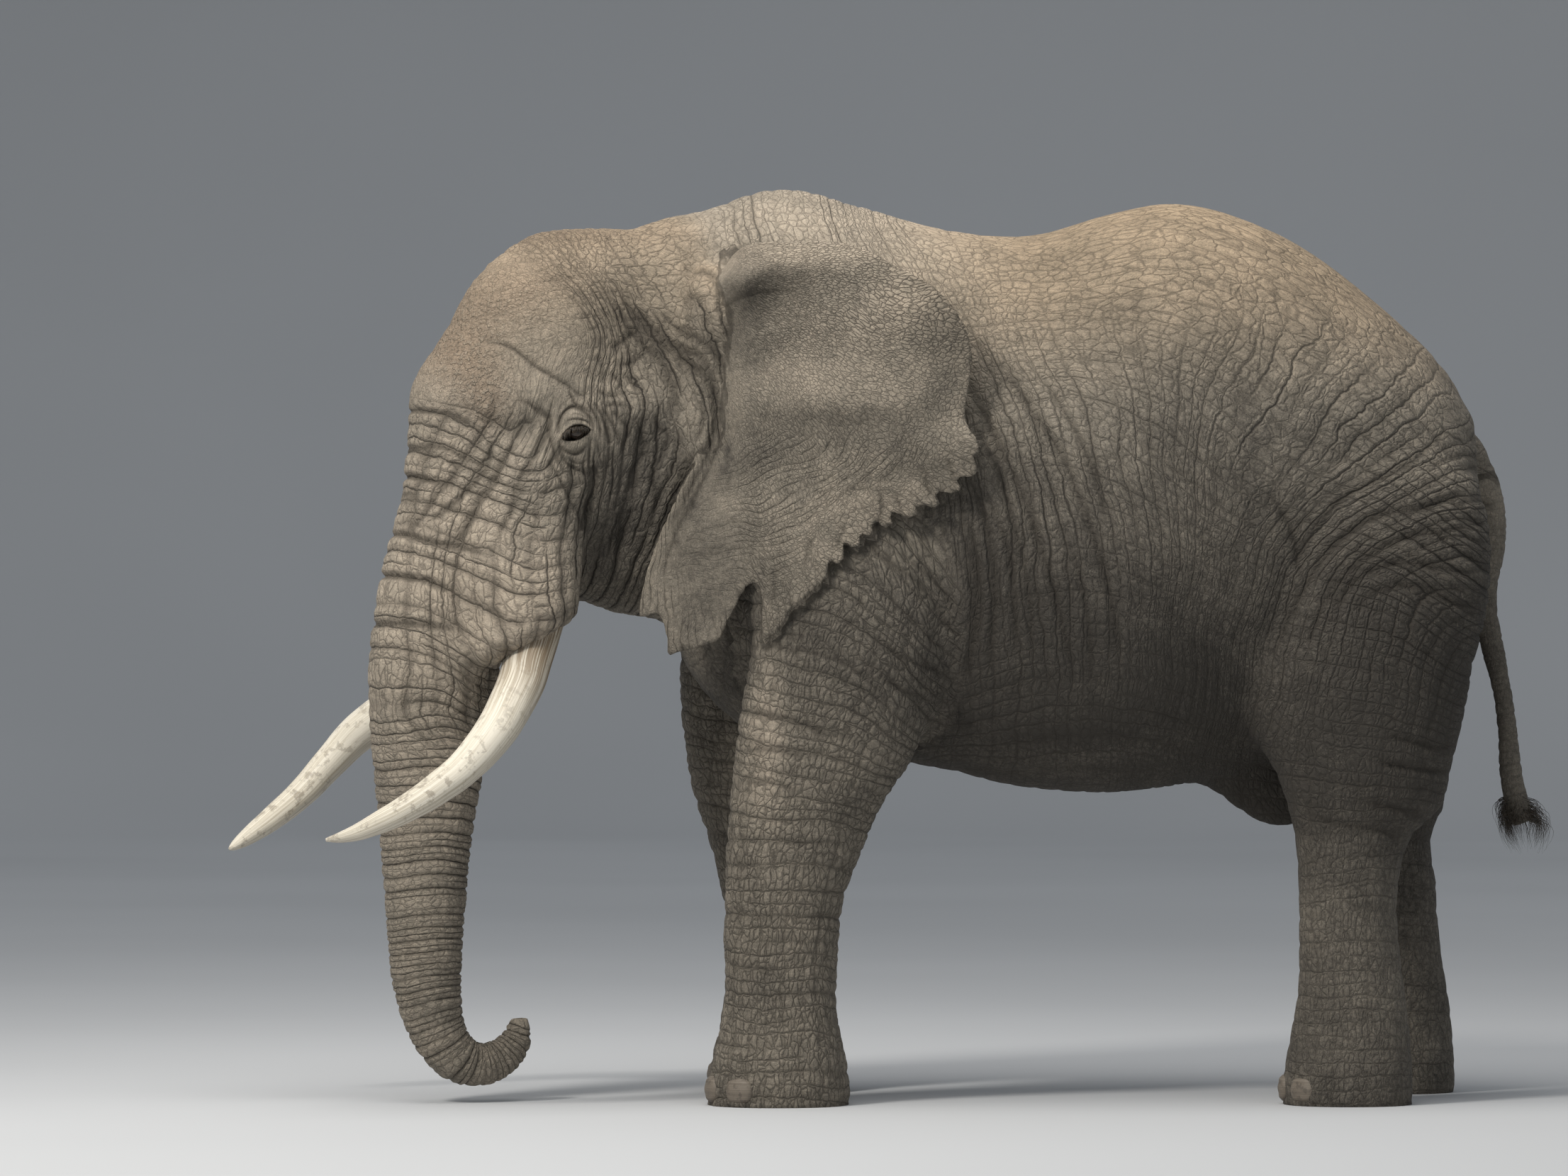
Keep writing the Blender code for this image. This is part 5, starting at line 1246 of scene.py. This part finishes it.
def rootMap(mesh, roots, perHair):  # each hair's patch, 0.003 across, where its root is on the unwrapped skin
    spread = np.random.default_rng(1).uniform(-0.0015, 0.0015, (len(roots), perHair, 2))
    spots = (roots[:, None, :] + spread).reshape(-1, 2)
    corners = np.empty(len(mesh.loops), np.int32)
    mesh.loops.foreach_get("vertex_index", corners)
    mesh.uv_layers.new(name="OFBake").data.foreach_set("uv", spots[corners].astype(np.float32).ravel())


def lashes(side):
    axes, centre = eyeAxes(side), eyeCentre(side) + frameShift
    rng = np.random.default_rng(lash["seed"] + side)
    u = np.linspace(*lash["span"], lash["count"]) * eyeLids["half"]
    u = u + rng.uniform(-0.0012, 0.0012, lash["count"])
    v = eyeLids["upper"] * (1 - (u / eyeLids["half"]) ** 2) ** 0.75 + rng.uniform(0.0, 0.006, lash["count"])
    cos, sin = cosSin(eyeLids["tilt"])
    ahead = eyeLids["middle"][0] + u * cos - v * sin
    up = eyeLids["middle"][1] + u * sin + v * cos
    t = np.linspace(0, 1, lash["rings"])[None, :]
    size = (lash["length"] * rng.uniform(0.65, 1.1, lash["count"]))[:, None]
    lean = rng.uniform(-0.25, 0.25, lash["count"])[:, None] + lash["fan"] * u[:, None]
    along = ahead[:, None] + size * lean * t
    rise = up[:, None] - size * (0.2 * t + 0.55 * t * t)
    out = lash["rootOut"] + size * (0.75 * t - 0.30 * t * t)
    paths = centre + np.stack([along, rise, out], -1) @ axes
    radii = lash["radius"] * (1.05 - t) + 0 * size
    mesh = meshOf("lashes", hairs(paths, radii, 3))
    rootMap(mesh, np.stack([0.5 + 2 * ahead, 0.5 + 2 * up], -1), 3 * lash["rings"] + 2)
    return mesh


hairLook = dict(dark=(0.018, 0.014, 0.01), light=(0.085, 0.062, 0.038))


def hairMaterial():
    add, finish = nodeKit("hair")
    where = objectSpot(add)
    tone = noise(add, where, 180.0, 3.0, 0.6)
    colour = blend(add, ramp(add, tone, 0.35, 0.7), hairLook["dark"], hairLook["light"])
    fine = bumpOf(add, noise(add, where, 900.0), 0.3, 0.0003)
    return finish(Base_Color=colour, Roughness=0.45, Normal=fine)


# Tusks: pipes of forward, left, height, radius, a little longer
tusks = dict(left=((0.59, 0.225, 1.72, 0.086), (0.628, 0.252, 1.63, 0.086), (0.668, 0.292, 1.55, 0.085),
                   (0.712, 0.345, 1.471, 0.082), (0.772, 0.41, 1.398, 0.078), (0.84, 0.47, 1.32, 0.073),
                   (0.927, 0.53, 1.24, 0.067), (1.017, 0.567, 1.167, 0.06), (1.098, 0.582, 1.113, 0.055),
                   (1.173, 0.578, 1.065, 0.05), (1.235, 0.565, 1.028, 0.045), (1.297, 0.542, 0.995, 0.039),
                   (1.364, 0.508, 0.962, 0.029), (1.416, 0.472, 0.943, 0.018),
                   (1.456, 0.442, 0.934, 0.006)),
             right=((0.61, 0.225, 1.72, 0.086), (0.655, 0.26, 1.62, 0.086), (0.715, 0.315, 1.53, 0.085),
                    (0.805, 0.39, 1.45, 0.082), (0.905, 0.47, 1.367, 0.077), (1.011, 0.54, 1.277, 0.068),
                    (1.107, 0.567, 1.172, 0.058), (1.211, 0.562, 1.068, 0.051), (1.333, 0.53, 0.98, 0.042),
                    (1.427, 0.498, 0.923, 0.03), (1.48, 0.476, 0.893, 0.018), (1.507, 0.462, 0.88, 0.006)),
             around=72, steps=14, ripple=0.0016, fresh=(0.76, 0.71, 0.6), worn=(0.54, 0.48, 0.37),
             stain=(0.17, 0.13, 0.088), rootStain=(0.22, 0.16, 0.1), streakDepth=0.0012, fineDepth=0.0007)


def tusk(side):  # rings of radius r + ripple (noise along the grain - 1/2), with a rounded tip
    r = smoothRows(tusks["left" if side > 0 else "right"], tusks["steps"])
    path = headToBody(r[:, 0], side * r[:, 1], r[:, 2])
    rings = pipeRings(path, r[:, 3], tusks["around"])
    arcs = arcsOf(path)
    outward = unit(rings - path[:, None])
    grain = cloud(outward * 4.0 + arcs[:, None, None] * 1.2, 61) - 0.5
    dents = cloud(rings * 16, 62) - 0.5
    ripple = tusks["ripple"] * (grain + 1.3 * dents) * np.minimum(1, r[:, 3] / 0.03)[:, None]
    rings = rings + outward * ripple[..., None]
    mesh = meshOf("tusk", closedTube(rings + frameShift))
    level = np.append(np.repeat(arcs / arcs[-1], tusks["around"]), [0, 1])
    u = np.tile(turns(tusks["around"]), len(r))
    grainSpot = np.stack([level * arcs[-1] * 0.25, *(np.append(v, [0, 0]) for v
                                                     in (np.cos(u), np.sin(u)))], -1)
    store(mesh, "level", level)
    store(mesh, "grain", grainSpot)
    store(mesh, "under", np.append(np.clip(-outward[..., 2].ravel(), 0, 1), [0, 0]))
    return mesh


def tuskMaterial():
    add, finish = nodeKit("ivory")
    level, under, grain = read(add, "level"), read(add, "under"), read(add, "grain", 1)
    streaks = noise(add, grain, 9.0, 5.0, 0.65)
    fine = noise(add, grain, 42.0, 4.0, 0.7)
    blots = noise(add, objectSpot(add), 24.0, 6.0, 0.68)
    blotsAndUndersides = times(add, ramp(add, blots, 0.52, 0.62), ramp(add, level, 0.25, 0.75, 0.25, 0.5))
    # darker streaks on the tusks' downward-facing undersides
    blotsAndUndersides = maths(add, "MAXIMUM", blotsAndUndersides, times(add, under, ramp(add, streaks, 0.3, 0.6, 0.15, 0.65)))
    scratch = times(add, ramp(add, fine, 0.6, 0.72), 0.55)
    roots = times(add, ramp(add, level, 0.45, 0.12), ramp(add, streaks, 0.4, 0.56, 0.25, 0.95))
    colour = blend(add, ramp(add, streaks, 0.42, 0.66), tusks["fresh"], tusks["worn"])
    colour = blend(add, blotsAndUndersides, colour, tusks["stain"])
    colour = blend(add, scratch, colour, tusks["stain"])
    colour = blend(add, roots, colour, tusks["rootStain"])
    height = plus(add, times(add, streaks, tusks["streakDepth"]), times(add, fine, tusks["fineDepth"]))
    rough = ramp(add, streaks, 0.3, 0.7, 0.32, 0.55)
    return finish(Base_Color=colour, Roughness=rough, Normal=bumpOf(add, height), Specular_IOR_Level=0.4)


# Toenails: flattened, ridged balls let into the front of the foot
nail = dict(size=(0.026, 0.054, 0.047), square=0.85, height=0.056, inset=0.015, rings=28, around=40,
            ridge=0.0012, pale=(0.2, 0.168, 0.13), dark=(0.125, 0.103, 0.08), dirtAndShade=(0.08, 0.066, 0.052),
            foot=(0.09, 0.07, 0.05), bandDepth=0.0015, dirtDepth=0.0008)


def toenail(shape, side, degrees):  # a ball squared by sign c |c|^0.85, with growth ridges across it
    front, back, out, half, lean = legAt(shape, side, nail["height"], 8)
    turn = -side * math.radians(degrees)
    spot = np.array([0.5 * (front + back) + lean - (0.5 * (back - front) - nail["inset"]) * math.cos(turn),
                     -side * out + (half - nail["inset"]) * math.sin(turn), nail["height"]])
    t, u = np.linspace(0.04, math.pi - 0.04, nail["rings"])[:, None], turns(nail["around"])[None, :]
    deep, wide, tall = nail["size"]
    ridges = 1 + nail["ridge"] / deep * np.sin(9 * t + 0 * u)
    spots = squared(np.stack([np.sin(t) * np.cos(u), np.sin(t) * np.sin(u), np.cos(t) + 0 * u], -1),
                    nail["square"])
    local = np.stack([deep * spots[..., 0] * ridges, wide * spots[..., 1], tall * spots[..., 2]], -1)
    cos, sin = cosSin(turn)
    placed = np.stack([local[..., 0] * cos + local[..., 1] * sin, local[..., 1] * cos - local[..., 0] * sin,
                       local[..., 2]], -1) + spot
    placed[..., 2] = np.maximum(placed[..., 2], 0.002)
    mesh = meshOf("toenail", closedTube(placed + frameShift))
    store(mesh, "level", np.append(local[..., 2].ravel() / tall, [1, -1]))
    return mesh


def nailMaterial():
    add, finish = nodeKit("toenail")
    level = read(add, "level")
    bands = noise(add, add("CombineXYZ", {0: times(add, level, 5.0)}), 3.0, 3.0, 0.6)
    dirtAndShade = noise(add, objectSpot(add), 40.0, 4.0, 0.65)
    colour = blend(add, ramp(add, bands, 0.35, 0.65), nail["pale"], nail["dark"])
    colour = blend(add, ramp(add, dirtAndShade, 0.5, 0.65, 0.0, 0.7), colour, nail["dirtAndShade"])
    colour = blend(add, ramp(add, level, -0.55, -0.95, 0.0, 0.8), colour, nail["foot"])
    height = plus(add, times(add, bands, nail["bandDepth"]), times(add, dirtAndShade, nail["dirtDepth"]))
    return finish(Base_Color=colour, Roughness=0.62, Normal=bumpOf(add, height))


# Tail tuft: stiff curved hairs in a fringe down the front and the back of the tail's end
# pairs are for hairs at the front and at the back
tuft = dict(count=400, rings=10, radius=0.0011, length=0.12, seed=8, rootSpan=(0.93, 0.998), floor=0.85,
            frontShare=0.62, fan=0.85, spread=(0.44, 0.62), curl=(0.22, 0.05), sideways=0.2, fall=0.86)


def tailTuft():  # root + length (out t + down t^2) with a hook of half a turn back under the tail's end
    rng = np.random.default_rng(tuft["seed"])
    rows = smoothRows(tail["rows"], 8)
    path, radius = rows[:, :3], rows[:, 3]
    arcs = arcsOf(path)
    low, high = tuft["rootSpan"]
    where = arcs[-1] * (low + (high - low) * rng.random(tuft["count"]) ** 0.8)
    front = rng.random(tuft["count"]) < tuft["frontShare"]
    turn = np.where(front, math.pi, 0.0) + rng.normal(0, tuft["fan"], tuft["count"])
    root = np.stack([np.interp(where, arcs, path[:, i]) for i in range(3)], -1)
    wide = np.interp(where, arcs, radius)
    out = np.stack([np.cos(turn), np.sin(turn), 0 * turn], -1)
    t = np.linspace(0, 1, tuft["rings"])[None, :, None]
    size = (tuft["length"] * rng.uniform(0.55, 1.1, tuft["count"]))[:, None, None]
    spread = np.where(front, *tuft["spread"])[:, None, None]
    spread = spread * rng.uniform(0.5, 1.15, tuft["count"])[:, None, None]
    sideways = rng.normal(0, tuft["sideways"], tuft["count"])[:, None, None] * np.array([0, 1, 0])
    hook = np.sin(t * math.pi * rng.uniform(0.62, 0.95, tuft["count"])[:, None, None])
    curl = np.where(front, *tuft["curl"])[:, None, None] * np.array([1, 0, 0])
    fall = np.array([0, 0, -1]) * (0.06 * t + tuft["fall"] * t * t)
    paths = (root + 0.9 * wide[:, None] * out)[:, None]
    paths = paths + size * (spread * hook * out[:, None] + sideways * t) + size * curl * t * t + size * fall
    paths[..., 2] = np.maximum(paths[..., 2], tuft["floor"] + 0.05 * (tuft["floor"] - paths[..., 2]))
    radii = tuft["radius"] * (1.1 - t[..., 0]) + 0 * size[..., 0]
    mesh = meshOf("tail_tuft", hairs(paths + frameShift, radii, 3))
    unwrapped = np.stack([(turn % (2 * math.pi)) / (2 * math.pi), where / arcs[-1]], -1)
    rootMap(mesh, 0.01 + 0.98 * unwrapped, 3 * tuft["rings"] + 2)
    return mesh


def addPiece(name, mesh, material, node=None):
    made = place(name, mesh)
    mesh.materials.append(material)
    mesh.shade_smooth()
    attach(made, "root")
    if node:
        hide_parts(node)


ivory, glass, hair, horn = tuskMaterial(), eyeMaterial(), hairMaterial(), nailMaterial()
for word, side in (("left", 1), ("right", -1)):
    surface, axes, centre = eyeball(side)
    ball = meshOf("eye", surface)
    ways = (spotsOf(ball) - centre) @ axes.T
    store(ball, "gaze", unit(ways))
    addPiece(f"eyeball_{word}", ball, glass, f"eye_{word}")
    addPiece(f"lashes_{word}", lashes(side), hair)
    addPiece(f"ivory_{word}", tusk(side), ivory, f"tusk_{word}")
    for foot, shape in (("fore", foreleg), ("hind", hindleg)):
        for number, degrees in enumerate(shape["nails"], 1):
            addPiece(f"nail_{foot}_{word}_{number}", toenail(shape, side, degrees), horn,
                     f"toenail_{foot}_{word}_{number}")
addPiece("tuft", tailTuft(), hair, "tail_tuft")
print("eyes, tusks, nails and tuft", flush=True)


# Backdrop: a pale round floor that turns up into a low wall, its profile carried once round the animal
backdrop = dict(flat=6.0, start=34.0, radius=8.0, around=96, colour=(0.58, 0.59, 0.6),
                shade=(0.54, 0.55, 0.56))
view = dict(lens=182.3, spot=(-0.36676, -27.89884, 1.68), pitch=math.radians(90.2374),
            sky=(0.86, 0.9, 0.95), skyStrength=0.4)
# Round lamps: name, place, width, power, colour
lamps = (("overhead", (-1.0, -2.0, 9.0), 7.0, 445, (1.0, 0.97, 0.93)),
         ("key", (-7.0, -8.0, 10.0), 2.5, 1110, (1.0, 0.96, 0.90)),
         ("fill", (9.0, -12.0, 4.0), 6.0, 60, (0.92, 0.96, 1.0)))


def backdropMaterial():
    add, finish = nodeKit("backdrop")
    cloudy = ramp(add, noise(add, objectSpot(add), 0.1, 3.0, 0.5), 0.35, 0.65)
    colour = blend(add, cloudy, backdrop["colour"], backdrop["shade"])
    return finish(Base_Color=colour, Roughness=0.9, Specular_IOR_Level=0.1)


def studio():
    scene = bpy.context.scene
    scene.view_settings.view_transform = "Standard"
    camera = bpy.data.objects.new("camera", bpy.data.cameras.new("camera"))
    camera.data.sensor_width = 36
    camera.data.lens = view["lens"]
    camera.data.clip_end = 200
    scene.collection.objects.link(camera)
    camera.location = view["spot"]
    camera.rotation_euler = (view["pitch"], 0, 0)
    scene.camera = camera
    world = bpy.data.worlds.new("studio")
    world.use_nodes = True
    sky = world.node_tree.nodes["Background"].inputs
    sky["Color"].default_value = opaque(view["sky"])
    sky["Strength"].default_value = view["skyStrength"]
    scene.world = world
    for name, spot, size, power, colour in lamps:
        lamp = bpy.data.objects.new(name, bpy.data.lights.new(name, "AREA"))
        lamp.data.shape = "DISK"
        lamp.data.size = size
        lamp.data.energy = power
        lamp.data.color = colour
        scene.collection.objects.link(lamp)
        lamp.location = spot
        way = np.array((0, 0, 1.5)) - np.array(spot)  # each lamp looks at the middle of the animal
        tilt = math.acos(-way[2] / np.linalg.norm(way))
        lamp.rotation_euler = (tilt, 0, math.atan2(way[1], way[0]) - math.pi / 2)
    bend = np.radians(np.linspace(0, 90, 17))[:, None]
    reach = np.vstack([[[backdrop["flat"]]], backdrop["start"] + backdrop["radius"] * np.sin(bend)])
    rise = np.vstack([[[0.0]], backdrop["radius"] * (1 - np.cos(bend))])
    u = turns(backdrop["around"])[None, :]
    rings = np.stack([reach * np.cos(u), reach * np.sin(u), rise + 0 * u], -1)
    quads, fans = tubeFaces(*rings.shape[:2])
    faces = quads[:, ::-1].tolist() + fans[:backdrop["around"], ::-1].tolist()
    mesh = bpy.data.meshes.new("floor")
    mesh.from_pydata(np.vstack([rings.reshape(-1, 3), (0.0, 0.0, 0.0)]).tolist(), [], faces)
    mesh.shade_smooth()
    mesh.materials.append(backdropMaterial())
    place("floor", mesh)


studio()
